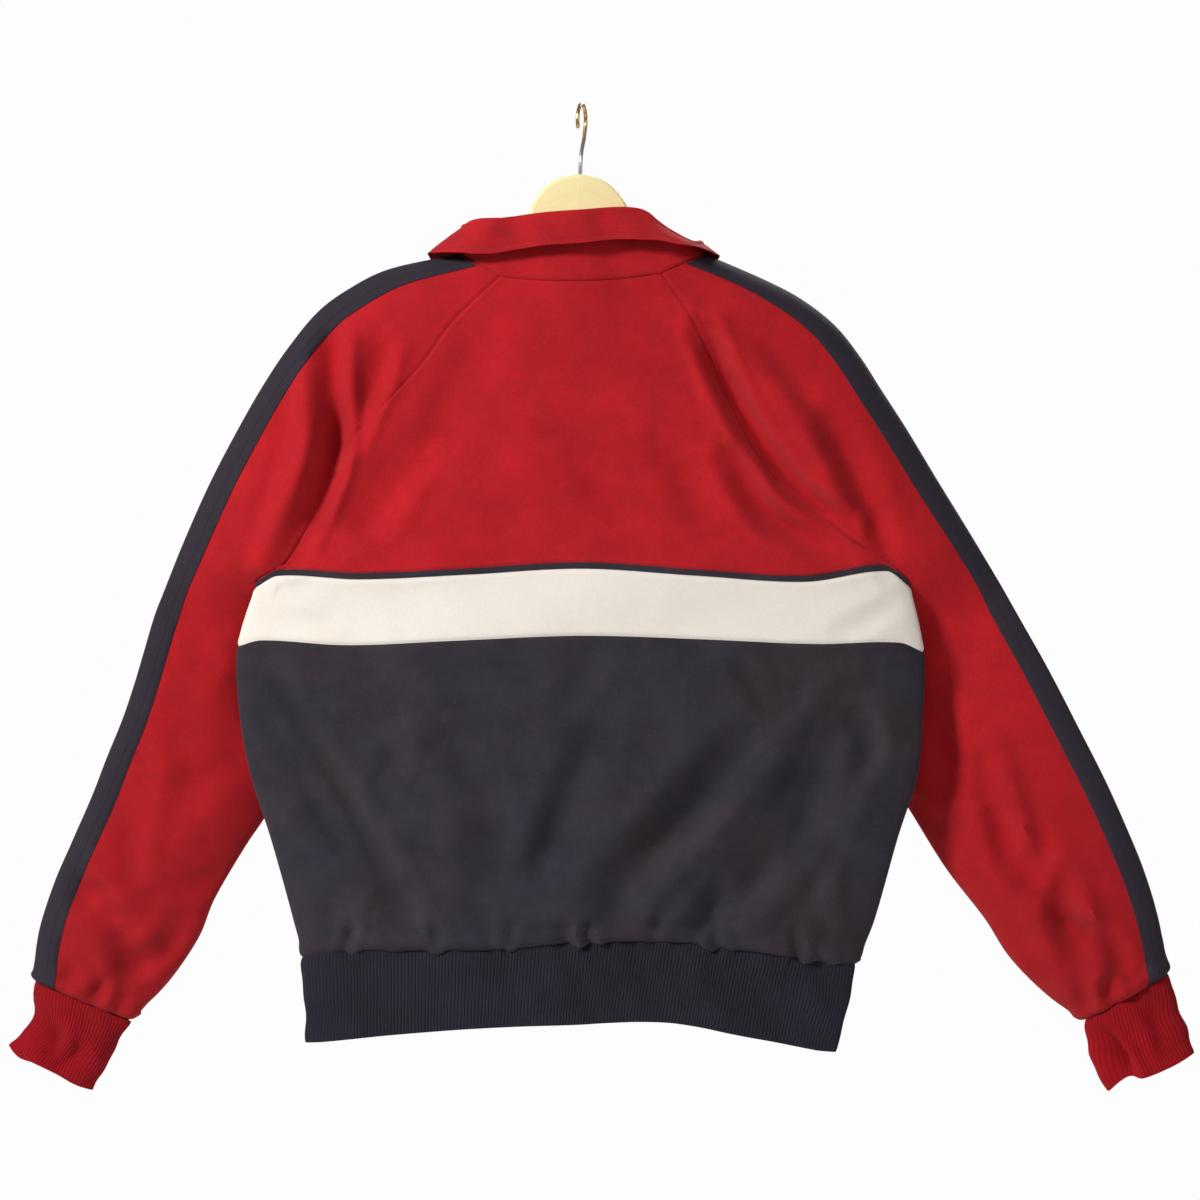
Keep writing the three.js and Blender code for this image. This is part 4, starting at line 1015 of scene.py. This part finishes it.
def gather(places, inward, distance, reach, depth, seed):
    """Small uneven ripples where a wider piece is sewn to a narrower rib"""
    pulls = np.random.default_rng(seed)
    length = run_lengths(places, 1)
    ripple = np.zeros_like(length)
    for _ in range(GATHER_WAVES):
        wave = pulls.uniform(11, 34)
        share = pulls.uniform(0.3, 1)
        ripple += share * np.sin(2 * np.pi * length / wave + pulls.uniform(*PHASES))
    amount = depth * ripple / 2 * np.exp(-distance / reach) * (1 - np.exp(-distance / GATHER_CLEAR))
    places += inward * amount[..., None]


BLOUSE_AT = 7
BLOUSE_REACH = 6
BLOUSE_TURN = 1.8
HEM_BLOUSE = 3.2
CUFF_BLOUSE = 2.6


def blouse(places, inward, distance, amount):
    """Rolls the end of a wider piece out over the narrower rib that it is sewn to"""
    roll = bell(distance, BLOUSE_AT, BLOUSE_REACH)
    turn = 0.5 * bell(distance, 0, BLOUSE_TURN)
    places += inward * (amount * (turn - roll))[..., None]


# Small pleats caught in the hem seam: place across, how far the cloth hangs over the rib, half width
HEM_PLEATS = {
    "back": [
        (-194, 4.2, 6), (-122, 4.6, 7), (-60, 4, 5), (-1, 5, 7), (16, 3, 5), (110, 5, 8),
        (126, 2.4, 5), (190, 4, 7), (213, 2, 6), (-158, 1.6, 8), (60, 1.8, 9),
    ],
    "front_left": [(-160, 4, 6), (-92, 4.4, 7), (-38, 3.4, 5), (-196, 2.4, 7)],
    "front_right": [(54, 4, 6), (119, 4.4, 6), (180, 3.6, 7), (92, 1.8, 8)],
}
PLEAT_REACH = 9


def pleats(face, places, inward, distance):
    """Pulls the hem seam down and out at each pleat, with a pinch beside it"""
    x = places[..., 0].copy()
    near = bell(distance, 0, PLEAT_REACH)
    for at, hang, width in HEM_PLEATS[face]:
        bulge = bell(x, at, 0.85 * width)
        pinch = bell(x, at + 1.5 * width, 0.55 * width) + 0.7 * bell(x, at - 1.4 * width, 0.5 * width)
        places[..., 2] -= hang * bulge * near
        places += inward * (hang * near * (0.5 * pinch - 0.32 * bulge))[..., None]


def yoke(face):
    row, v = grid_of(near_ends(76, 0, UNDERARM), COLUMNS[face])
    places, inward = upper_places(face, v, row)
    sewn_edges(places, inward, ["top", "bottom"])
    sewn_edges(places, inward, ["first", "last"], share=RAGLAN_SHARE)
    return places, inward


PIPING_RISE = 0.9
PIPING_SUNK = 0.5


def piping(face):
    """The cord of cloth between yoke and band, from the first level to the second"""
    level, v = grid_of(np.linspace(0, 1, 9), COLUMNS[face])
    places, inward = body_places(face, v, level)
    roll = PIPING_RISE * arc(2 * level - 1) - PIPING_SUNK
    return places - inward * roll[..., None], inward


def body_panel(face, first, last, count):
    level, v = grid_of(near_ends(count, LEVEL[first], LEVEL[last]), COLUMNS[face])
    return body_places(face, v, level)


def band(face):
    places, inward = body_panel(face, "band_top", "band_bottom", 20)
    sewn_edges(places, inward, ["top", "bottom"])
    return places, inward


def lower_panel(face):
    """The panel down to the hem seam, full over the rib except at its side edges"""
    places, inward = body_panel(face, "band_bottom", "hem_seam", 84)
    distance = edge_distances(places)["bottom"]
    gather(places, inward, distance, **HEM_GATHER)
    blouse(places, inward, distance, HEM_BLOUSE * (1 - 0.75 * np.abs(COLUMNS[face]) ** 10))
    pleats(face, places, inward, distance)
    sewn_edges(places, inward, ["top", "bottom"])
    return places, inward


YOKE_STITCH = 4.2
ZIP_STITCH = 6.5
ZIP_SIDE = {"front_left": "last", "front_right": "first"}
# Each part of the body with its slot, its form and the thread of its stitches
BODY_PARTS = {
    "yoke": ("red_jersey", yoke, "red_thread"),
    "piping": ("navy_jersey", piping, None),
    "band": ("white_jersey", band, "cream_thread"),
    "lower": ("navy_jersey", lower_panel, "navy_thread"),
}


def dress_body(zip_tapes):
    """Every panel of the body, then the stitches above the piping and beside the zip"""
    panels = []
    for face in COLUMNS:
        for part, (slot, form, _) in BODY_PARTS.items():
            node = NODE_NAME[face].format(part)
            places, inward = form(face)
            piece = shell(node + "_cloth", places, inward, JERSEY_WALL, FINISH[slot])
            panels.append((face, part, node, piece, places, inward))
    for face, part, node, piece, places, inward in panels:
        slot, _, thread_name = BODY_PARTS[part]
        if part == "piping":
            cord = dress(piece, node)
            continue
        lines, sewn = [], []
        if part == "yoke":
            lines.append(beside(places, inward, "bottom", YOKE_STITCH))
        if face in ZIP_SIDE:
            lines.append(beside(places, inward, ZIP_SIDE[face], ZIP_STITCH))
        if lines:
            sewn.append(dress(stitches(node + "_stitches", lines, FINISH[thread_name])))
        if part == "band":
            sewn.append(cord)
        if part == "lower" and face in ZIP_SIDE:
            sewn.append(zip_tapes[face.split("_")[1]])
        dress(piece, node, cut_of(places), sewn)


# Ribs
RIB_ROUNDNESS = 0.6
RIB_MIDDLE = 0.4  # the ribs' crowns and grooves lie on both sides of the piece's own form
HEM_RIB_RAISE = 0.75
HEM_TUCK = {"top": 2.6, "top_reach": 4.5, "bottom": 0.7, "bottom_reach": 1.2}
HEM_SWELL = {"finer": 2.2, "share": 0.8}
CUFF_RIB_RAISE = 0.5
CUFF_TUCK = {"top": 0.9, "top_reach": 2.5, "bottom": 0.6, "bottom_reach": 1.2}
CUFF_SWELL = {"finer": 3, "share": 0.6}
RIB_STEPS = 6


def rib_columns(line, along):
    """Even columns for a whole number of ribs along a line, and each one's run length"""
    run = run_lengths(line, 1)[0]
    ribs = int(round(run[-1] / RIB_PITCH))
    even = np.interp(np.linspace(0, run[-1], ribs * RIB_STEPS + 1), run, along)
    return even, np.linspace(0, ribs * RIB_PITCH, ribs * RIB_STEPS + 1)


def tucked(places, top, top_reach, bottom, bottom_reach):
    """How far a rib draws in at its seam and at its open edge"""
    edge = edge_distances(places)
    return top * np.exp(-edge["top"] / top_reach) + bottom * np.exp(-edge["bottom"] / bottom_reach)


def rib_piece(name, slot, places, inward, at, relief, rise, tube_from=None):
    """A ribbed shell and its cut. at is each column's run length, relief goes into the cloth"""
    down = run_lengths(places, 0)
    uv = np.stack([np.broadcast_to(at, down.shape), -down], -1) * MM
    places = places + inward * relief[..., None]
    crown = np.abs(np.sin(np.pi * (at / RIB_PITCH))) ** RIB_ROUNDNESS
    ribbed = places - inward * (rise * (crown - RIB_MIDDLE))[..., None]
    return shell(name, ribbed, inward, RIB_WALL, FINISH[slot], tube_from, uv), cut_of(places)


def make_hem():
    """Hem rib from zip to zip round the back, its ribs straight down"""
    seam = LEVEL["hem_seam"]
    seam_v = np.linspace(0, 1, 600)
    rows = np.concatenate([[0, 0.02, 0.05], np.linspace(0.1, 0.97, 13), [0.99, 1]])
    chunks = []
    total = 0.0
    for face, v in [("front_left", -seam_v), ("back", 2 * seam_v - 1), ("front_right", 1 - seam_v)]:
        line = body_places(face, v[None], np.full((1, v.size), seam))[0]
        even, at = rib_columns(line, v)
        level, columns = grid_of(seam + rows, even)
        places, inward = body_places(face, columns, level)
        first = 1 if chunks else 0  # each part starts on the last column of the one before
        chunks.append((places[:, first:], inward[:, first:], (at + total)[None, first:]))
        total += at[-1]
    places, inward, at = (np.concatenate(parts, 1) for parts in zip(*chunks))
    relief = tucked(places, **HEM_TUCK)
    relief += swell(places[..., 0], places[..., 2], **HEM_SWELL)
    return rib_piece("hem_rib_knit", "navy_rib", places, inward, at[0], relief, HEM_RIB_RAISE)


# How far a cuff's open edge hangs below a straight line, from its inner to its outer corner
CUFF_EDGE_AT = [0, 0.2, 0.4, 0.7, 0.85, 1]
CUFF_EDGE = {"left": [0, 3, 2, 3.5, 6, 0], "right": [0, -7.5, 1.5, 3, 2, 0]}
CUFF_FOLDS = [
    [((-462, -776), (-452, -792), (-448, -812)), 4, 9, 10],
    [((-424, -790), (-430, -806), (-440, -822)), 2.5, 9, 8],
    [((446, -794), (456, -808), (466, -826)), 7, 7, 9],
    [((486, -768), (494, -784), (500, -802)), 3, 10, 9],
]


def make_cuff(side):
    """Ribbed cuff from the sleeve's end to the open edge"""
    rows = table(CUFF_COLUMNS, CUFF_TABLES[side])
    seam = {name: values[0] for name, values in rows.items()}
    angles = np.linspace(0, 2 * np.pi, 721)
    half_width = np.hypot(seam["ox"] - seam["ix"], seam["oz"] - seam["iz"]) / 2
    ring = np.stack([half_width * np.cos(angles), seam["half"] * np.sin(angles), 0 * angles], -1)
    even, run_at = rib_columns(ring[None], angles)
    steps = np.concatenate([[0, 0.03, 0.08], np.linspace(0.18, 2.9, 17), [2.96, 3]])
    station, angle = grid_of(steps, even)
    at = read_at(rows, station)
    across = (1 - np.cos(angle)) / 2
    x, z = mix(at["ix"], at["ox"], across), mix(at["iz"], at["oz"], across)
    y = at["y"] - at["half"] * np.sin(angle)
    low = np.clip(station / 3 - 0.2, 0, 1) ** 2
    hang = smooth_along(CUFF_EDGE_AT, CUFF_EDGE[side], across) * low
    x, z = x + hang * SIDE_SIGN[side] * 0.4, z - hang
    wide = [(at["o" + axis] - at["i" + axis]) * np.cos(angle) for axis in "xz"]
    inward = unit(np.stack([wide[0], at["half"] * np.sin(angle) * 4, wide[1]], -1))
    places = np.stack([x, y, z], -1)
    dents = fold_depth(CUFF_FOLDS, x, z) * np.where(np.sin(angle) > 0, 1, 0.4)
    relief = tucked(places, **CUFF_TUCK) + swell(x, z, **CUFF_SWELL) + dents
    name = f"cuff_{side}_knit"
    return rib_piece(name, "red_rib", places, inward, run_at, relief, CUFF_RIB_RAISE, tube_from=0)


# Sleeves with their tapes
FACE_STEPS = 30
TAPE_STEPS = 8


def sleeve_columns(side, station):
    """The share round the sleeve of each column, with columns along both edges of the tape"""
    at = read_at(sleeves[side], station)
    halves = []
    for edge in "bf":
        length = np.hypot(at["ox"] - at[edge + "x"], at["oz"] - at[edge + "z"])
        tape_edge = np.maximum(0.5, 1 - TAPE_HALF_WIDTH / length)[:, None]
        inner = tape_edge * (1 - np.cos(np.pi / 2 * np.linspace(0, 1, FACE_STEPS + 1)))
        outer = mix(tape_edge, 1, np.sin(np.pi / 2 * np.linspace(0, 1, TAPE_STEPS + 1)))
        halves.append(np.concatenate([inner, outer[:, 1:]], 1))
    return np.concatenate([halves[0], 2 - halves[1][:, -2::-1]], 1)


TAPE_START = 3  # the tape's first row, caught in the neck seam
TAPE_COLUMNS = slice(FACE_STEPS, FACE_STEPS + 2 * TAPE_STEPS + 1)
TAPE_EDGE = 0.35
TAPE_EDGE_REACH = 0.8
TAPE_STITCH_COLUMNS = (2, -3)


def make_sleeve(side):
    """A sleeve, its tape and the tape's stitches, with the cuts of the first two"""
    upper = near_ends(84, 0, UNDERARM)
    last = len(SLEEVE_TABLES[side]) - 1
    lower = np.concatenate([np.linspace(UNDERARM, last, 146), last - np.array([0.09, 0.045, 0.02])])
    stations = np.concatenate([upper, np.sort(lower)[1:]])
    tube_from = len(upper) - 1
    around = sleeve_columns(side, stations)
    station = np.broadcast_to(stations[:, None], around.shape)
    places, inward = sleeve_places(side, station, around)
    distance = edge_distances(places)["bottom"]
    gather(places, inward, distance, **SLEEVE_GATHERS[side])
    blouse(places, inward, distance, CUFF_BLOUSE)
    sewn_edges(places, inward, ["top", "bottom"])
    sewn_edges(places, inward, ["first", "last"], slice(0, tube_from), RAGLAN_SHARE)
    cloth, woven_tape = FINISH["sleeve_jersey"], FINISH["sleeve_tape"]
    piece = shell(f"sleeve_{side}_cloth", places, inward, JERSEY_WALL, cloth, tube_from)
    way = inward[TAPE_START:, TAPE_COLUMNS]
    strip = places[TAPE_START:, TAPE_COLUMNS] - way * (TAPE_LIFT + TAPE_WALL)
    edge = edge_distances(strip)
    turn = sum(np.exp(-edge[end] / TAPE_EDGE_REACH) for end in ("first", "last"))
    strip = strip + way * (TAPE_EDGE * turn)[..., None]
    tape = shell(f"sleeve_tape_{side}_woven", strip, way, TAPE_WALL, woven_tape)
    lines = [(strip[3:-3, column], -way[3:-3, column]) for column in TAPE_STITCH_COLUMNS]
    seam = stitches(f"tape_stitches_{side}", lines, FINISH["navy_thread"])
    return piece, tape, seam, cut_of(places), cut_of(strip)


# Collar
STAND_STEPS = 12
TURN_STEPS = 10
FALL_STEPS = 20


def single(number):
    return np.array([[float(number)]])


def neck_place(place):
    side, front = ("left", "front_left") if place < 0 else ("right", "front_right")
    size = abs(place)
    if size <= 1:
        found = upper_places("back", single(2 / math.pi * math.asin(place)), single(0))
    elif size <= 3:
        found = sleeve_places(side, single(0), single(size - 1))
    else:
        found = upper_places(front, single((4 - size) * SIDE_SIGN[side]), single(0))
    return found[0][0, 0]


def collar_section(at, neck):
    """Places and ways in across the collar: foot, stand, fold and fall"""
    outward = unit(np.array([neck[0] / NECK_HALF_WIDTH, neck[1] / NECK_HALF_DEPTH, 0]))
    up = np.array([0, 0, 1.0])
    r = COLLAR_FOLD_RADIUS
    top = neck + outward * at["lean"] + up * (at["rise"] - r)
    fall_top = top + outward * 2 * r
    free = fall_top + outward * (at["out"] - r) - up * (at["drop"] - r)
    free[0] += at["slide"]
    section = [neck - outward * COLLAR_FOOT_IN - up * COLLAR_FOOT_DOWN]
    section += [mix(neck, top, t) for t in np.linspace(0, 1, STAND_STEPS + 1)]
    ways = [outward] * len(section)
    for angle in np.linspace(0, np.pi, TURN_STEPS + 1)[1:-1]:
        section.append(top + outward * r * (1 - np.cos(angle)) + up * r * np.sin(angle))
        ways.append(outward * np.cos(angle) - up * np.sin(angle))
    fall = [mix(fall_top, free, t) for t in np.linspace(0, 1, FALL_STEPS + 1)]
    return section + fall, ways + [-outward] * len(fall)


def collar_grid():
    rows = table(COLLAR_COLUMNS, COLLAR)
    half = np.concatenate(
        [np.linspace(0, 1.8, 55), np.linspace(1.82, 2.18, 25), np.linspace(2.22, 4, 60)]
    )
    places, inward = [], []
    for place in np.concatenate([-half[:0:-1], half]):
        at = {name: float(smooth_along(rows["place"], values, place)) for name, values in rows.items()}
        section, ways = collar_section(at, neck_place(place) + np.array([0, 0, COLLAR_GAP]))
        places.append(section)
        inward.append(ways)
    return np.array(places), unit(np.array(inward))


COLLAR_STITCH = 5.2
COLLAR_SWELL = {"finer": 1.6, "share": 0.9}
COLLAR_FOLDS = [
    [((-66, -94), (-58, -104), (-52, -116)), 1.4, 9, 8],
    [((-96, -112), (-84, -118), (-70, -121)), 1.6, 6, 7],
    [((20, -96), (30, -100), (46, -104)), -0.8, 10, 9],
]


def make_collar():
    """The collar and its stitches, the fall a little wavy and turned in at its free edge"""
    places, inward = collar_grid()
    length = run_lengths(places, 1)
    to_edge = length[:, -1:] - length
    relief = 0.5 * bell(to_edge, COLLAR_STITCH, 1.5) + 0.45 * bell(to_edge, 0, 1.6)
    column = np.arange(places.shape[1]) - 1
    fall = np.clip((column - STAND_STEPS - TURN_STEPS / 2) / 8, 0, 1)
    x, z = places[..., 0], places[..., 2]
    relief += (swell(x, z, **COLLAR_SWELL) + fold_depth(COLLAR_FOLDS, x, z)) * fall
    places = places + inward * relief[..., None]
    piece = shell("collar_cloth", places, inward, COLLAR_WALL, FINISH["red_jersey"])
    line = beside(places, inward, "last", COLLAR_STITCH)
    return piece, stitches("collar_stitches", [line], FINISH["red_thread"]), cut_of(places)


# Zip
TOOTH_PITCH = 2.5
FIRST_TOOTH = 1.5
TOOTH_DEPTH = 2.0
TOOTH_LENGTH = 0.46 * TOOTH_PITCH
TEETH_SUNK = 0.2
# A tooth's section as shares of its length and depth, and its reach over the middle with its size
TOOTH_SECTION = [(-0.5, -0.5), (0.5, -0.5), (0.5, 0.1), (0.3, 0.5), (-0.3, 0.5), (-0.5, 0.1)]
TOOTH_RINGS = [(-1.0, 0.8), (0.4, 0.9), (2.2, 1.0), (2.9, 0.8)]
ZIP_TAPE_WALL = 0.8
ZIP_TAPE_SUNK = 0.9
# Places across a zip tape from its sewn edge to the teeth, and the bead under the teeth
ZIP_TAPE_ACROSS = np.array([9.6, 8.6, 7.6, 6.2, 4.8, 3.6, 3.2, 2.8, 2.3])
ZIP_TAPE_BEAD = np.array([0, 0, 0, 0, 0, 0.1, 0.45, 0.5, 0.1])


def front_middle(row):
    """The middle of the front at a row of the yoke, or below it at a level of the body"""
    if row <= UNDERARM:
        return upper_places("front_left", single(0), single(row))[0][0, 0]
    return body_places("front_left", single(0), single(row - UNDERARM))[0][0, 0]


def zip_line():
    yoke_rows = np.linspace(0, UNDERARM, 40)
    body_rows = np.linspace(UNDERARM + 1, UNDERARM + 8, 90)
    line = np.array([front_middle(row) for row in np.concatenate([yoke_rows, body_rows])])
    return line, run_lengths(line[None], 1)[0]


def zip_tape(side, line):
    """Woven tape from the front's edge to the teeth, with a beaded edge under the teeth"""
    places = np.zeros((len(line), len(ZIP_TAPE_ACROSS), 3))
    places[..., 0] = SIDE_SIGN[side] * ZIP_TAPE_ACROSS
    places[..., 1] = line[:, 1:2] - ZIP_TAPE_SUNK + ZIP_TAPE_BEAD
    places[..., 2] = line[:, 2:3]
    inward = np.broadcast_to(np.array([0, -1.0, 0]), places.shape)
    return shell(f"zip_tape_{side}_woven", places, inward, ZIP_TAPE_WALL, FINISH["zip_tape"])


def make_teeth(line, length):
    """Moulded teeth, one from each side in turn down the whole chain"""
    vertices, faces = [], []
    for k, at in enumerate(np.arange(FIRST_TOOTH, length[-1] - 1, TOOTH_PITCH / 2)):
        _, middle_y, middle_z = at_length(at, length, line)
        sign = -1 if k % 2 else 1
        faces += ring_faces(len(vertices), len(TOOTH_RINGS), len(TOOTH_SECTION), sign < 0)
        for reach, size in TOOTH_RINGS:
            for along, up in TOOTH_SECTION:
                y = middle_y - TEETH_SUNK + up * TOOTH_DEPTH * size
                vertices.append((sign * reach, y, middle_z + along * TOOTH_LENGTH * size))
    return linked("zip_teeth_rows", bare_mesh("zip_teeth_rows", vertices, faces, FINISH["zip_teeth"]))


# Hanger
HANGER_TILT = math.radians(1.4)
HOOK_TURN = math.radians(76)
HALF_BAR = [
    (22, -63.9), (38, -79.9), (44.5, -98), (56, -116), (78, -127), (100, -132.5), (118, -135.6),
    (139, -140.8), (158, -147.8), (176, -156.4), (191, -165), (203, -173.4), (210, -181),
    (212, -190), (206, -198), (196, -198), (176, -186), (150, -173), (110, -160), (60, -152),
]
WOOD_THICKNESS = 12
WOOD_BEVEL = 3
BEVEL_STEPS = 5
BAR_TOP = (0, -58)
BAR_BOTTOM = (0, -150)
BAR_POINTS = 300


def tilted(x, y, z):
    cos, sin = math.cos(HANGER_TILT), math.sin(HANGER_TILT)
    return ((x * cos + z * sin) * MM, y * MM, (z * cos - x * sin) * MM)


def make_bar():
    """Flat wooden bar with a domed neck, cut to its outline and rounded along both faces"""
    other_half = [(-x, z) for x, z in reversed(HALF_BAR)]
    knots = np.array([BAR_TOP, *HALF_BAR, BAR_BOTTOM, *other_half, BAR_TOP], float)
    at = np.linspace(0, len(knots) - 1, BAR_POINTS + 1)[:-1]
    ring = np.stack([smooth(knots[:, 0], at), smooth(knots[:, 1], at)], 1)
    bpy.ops.mesh.primitive_circle_add(vertices=BAR_POINTS, radius=0.1, fill_type="NGON")
    bar = bpy.context.object
    bar.name = "hanger_bar"
    for vertex, (x, z) in zip(bar.data.vertices, ring):
        vertex.co = tilted(x, -WOOD_THICKNESS / 2, z)
    bpy.ops.object.mode_set(mode="EDIT")
    bpy.ops.mesh.select_all(action="SELECT")
    move = {"value": (0, WOOD_THICKNESS * MM, 0)}
    bpy.ops.mesh.extrude_region_move(TRANSFORM_OT_translate=move)
    bpy.ops.mesh.select_all(action="SELECT")
    bpy.ops.mesh.normals_make_consistent(inside=False)
    bpy.ops.object.mode_set(mode="OBJECT")
    bevel = bar.modifiers.new("round", "BEVEL")
    bevel.width = WOOD_BEVEL * MM
    bevel.segments = BEVEL_STEPS
    bevel.limit_method = "ANGLE"
    bevel.angle_limit = SMOOTH_ANGLE
    bpy.ops.object.modifier_apply(modifier="round")
    bpy.ops.object.shade_smooth_by_angle(angle=math.radians(35))
    bar.data.materials.append(FINISH["hanger_wood"])
    bar.select_set(False)
    return bar


WIRE_RADIUS = 1.6
LOOP_RADIUS = 14
LOOP_CENTRE = WIRE_RADIUS - LOOP_RADIUS
SHANK = [(0, -62), (0, -50), (0.9, -43), (4, -35.5), (9, -28)]
LOOP_DEGREES = np.arange(-22, 216, 21.5)
WIRE_POINTS = 110
TIP = (0.25, 0.7, 0.93)  # the wire's thickness at its last points, from the tip back


def make_hook():
    """Bent wire hook, its loop turned away from the picture, with a rounded tip"""
    loop = [(math.cos(a), math.sin(a)) for a in np.radians(LOOP_DEGREES)]
    knots = np.array(SHANK + [(LOOP_RADIUS * c, LOOP_CENTRE + LOOP_RADIUS * s) for c, s in loop])
    at = np.linspace(0, len(knots) - 1, WIRE_POINTS)
    reach, height = smooth(knots[:, 0], at), smooth(knots[:, 1], at)
    curve = bpy.data.curves.new("hanger_hook_wire", "CURVE")
    curve.dimensions = "3D"
    spline = curve.splines.new("POLY")
    spline.points.add(WIRE_POINTS - 1)
    for point, r, z in zip(spline.points, reach, height):
        point.co = (*tilted(r * math.cos(HOOK_TURN), r * math.sin(HOOK_TURN), z), 1)
    for k, share in enumerate(TIP):
        spline.points[WIRE_POINTS - 1 - k].radius = share
    curve.bevel_depth = WIRE_RADIUS * MM
    curve.bevel_resolution = 5
    curve.use_fill_caps = True
    hook = linked("hanger_hook_wire", curve)
    bpy.ops.object.select_all(action="DESELECT")
    hook.select_set(True)
    bpy.context.view_layer.objects.active = hook
    bpy.ops.object.convert(target="MESH")
    hook = bpy.context.object
    hook.data.materials.clear()
    hook.data.materials.append(FINISH["hook_metal"])
    bpy.ops.object.shade_smooth_by_angle(angle=math.radians(50))
    hook.select_set(False)
    return hook


# The photograph's camera: square on to the back, 1200 pixels of 0.85 mm across the hanging plane
FRAME_WIDTH = 1.02
CAMERA_DISTANCE = 4.2
PHOTO_MIDDLE = (0.0153, -0.4199)


def make_camera():
    data = bpy.data.cameras.new("camera")
    data.lens = data.sensor_width / 2 / (FRAME_WIDTH / 2 / CAMERA_DISTANCE)
    data.clip_end = 100
    camera = linked("camera", data)
    camera.location = (PHOTO_MIDDLE[0], -CAMERA_DISTANCE, PHOTO_MIDDLE[1])
    camera.rotation_euler = (math.pi / 2, 0, 0)
    bpy.context.scene.camera = camera


# Area lights: name, place, size and power. All look at the middle of the jacket
LIGHTS = [
    ("key", (-2.8, -2.6, 1.6), 0.8, 190),
    ("fill", (2.6, -2.2, 0.6), 2.0, 14),
    ("back", (1.3, 2.4, 1.5), 1.2, 85),
]
LIT_PLACE = (0, 0, -0.45)


def area_light(name, place, size, power):
    data = bpy.data.lights.new(name, "AREA")
    data.size = size
    data.energy = power
    light = linked(name, data)
    light.location = place
    aim = np.array(LIT_PLACE) - np.array(place)
    yaw = math.atan2(aim[0], -aim[1])
    pitch = math.atan2(math.hypot(aim[0], aim[1]), -aim[2])
    light.rotation_euler = (pitch, 0, yaw + math.pi)


FLOOR_HEIGHT = -1.3
FLOOR_RADIUS = 2.6
SURROUND_RADIUS = 16
SURROUND_WHITE = (0.975, 0.975, 0.98, 1)
ROOM_LIGHT = 0.22


def stage_piece(name, material):
    """Names, paints and stages the mesh just added"""
    piece = bpy.context.object
    piece.name = name
    piece.data.materials.append(material)
    piece.select_set(False)
    return piece


def make_floor():
    """Pale floor that fades out at its rim"""
    bpy.ops.mesh.primitive_circle_add(
        vertices=96, radius=FLOOR_RADIUS, fill_type="NGON", location=(0, 0, FLOOR_HEIGHT)
    )
    made = Shade("pale_floor", Specular_IOR_Level=0.1)
    place = made.spot("Object")
    x, y, _ = made.split(place)
    rim = ((x * x + y * y) ** 0.5).clear_of(0.9, FLOOR_RADIUS - 0.1)
    grain = made.noise(place, 30, 2.0)
    base = made.blend(grain, (0.86, 0.86, 0.86, 1), (0.9, 0.9, 0.9, 1))
    made.put(made.surface.inputs["Alpha"], 1 - rim)
    stage_piece("studio_floor", made.finished(base, 0.9 + grain * 0.05))


def make_surround():
    """A white sphere that only the camera sees"""
    bpy.ops.mesh.primitive_uv_sphere_add(segments=64, ring_count=32, radius=SURROUND_RADIUS)
    glow = {"Emission_Color": SURROUND_WHITE, "Emission_Strength": 1.0}
    white = Shade("white_surround", Roughness=1.0, Base_Color=(0, 0, 0, 1), **glow)
    surround = stage_piece("white_surround", white.material)
    surround.visible_diffuse = False
    surround.visible_glossy = False
    surround.visible_shadow = False
    surround.visible_transmission = False


def make_room():
    """Even light from all round, and the soft lights of the studio"""
    world = bpy.data.worlds.new("studio")
    world.use_nodes = True
    background = world.node_tree.nodes["Background"]
    background.inputs[0].default_value = (1, 1, 1, 1)
    background.inputs[1].default_value = ROOM_LIGHT
    bpy.context.scene.world = world
    bpy.context.scene.view_settings.view_transform = "Standard"
    for light in LIGHTS:
        area_light(*light)


def run():
    make_camera()
    make_floor()
    make_surround()
    make_room()
    dress(make_bar(), "hanger_wood")
    dress(make_hook(), "hanger_hook")
    line, length = zip_line()
    zip_tapes = {side: zip_tape(side, line) for side in SIDES}
    for side, tape in zip_tapes.items():
        dress(tape, f"zip_tape_{side}")
    dress(make_teeth(line, length), "zip_chain")
    dress_body(zip_tapes)
    hem, cut = make_hem()
    dress(hem, "hem_rib", cut)
    for side in SIDES:
        sleeve, tape, seam, sleeve_cut, tape_cut = make_sleeve(side)
        dress(sleeve, f"sleeve_{side}", sleeve_cut)
        dress(tape, f"sleeve_tape_{side}", tape_cut, [dress(seam)])
        cuff, cut = make_cuff(side)
        dress(cuff, f"cuff_{side}", cut)
    collar, seam, cut = make_collar()
    dress(collar, "collar", cut, [dress(seam)])
    for node in ("zip_slider", "zip_pull"):
        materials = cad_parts[node].data.materials
        materials.clear()
        materials.append(FINISH["zip_metal"])


run()
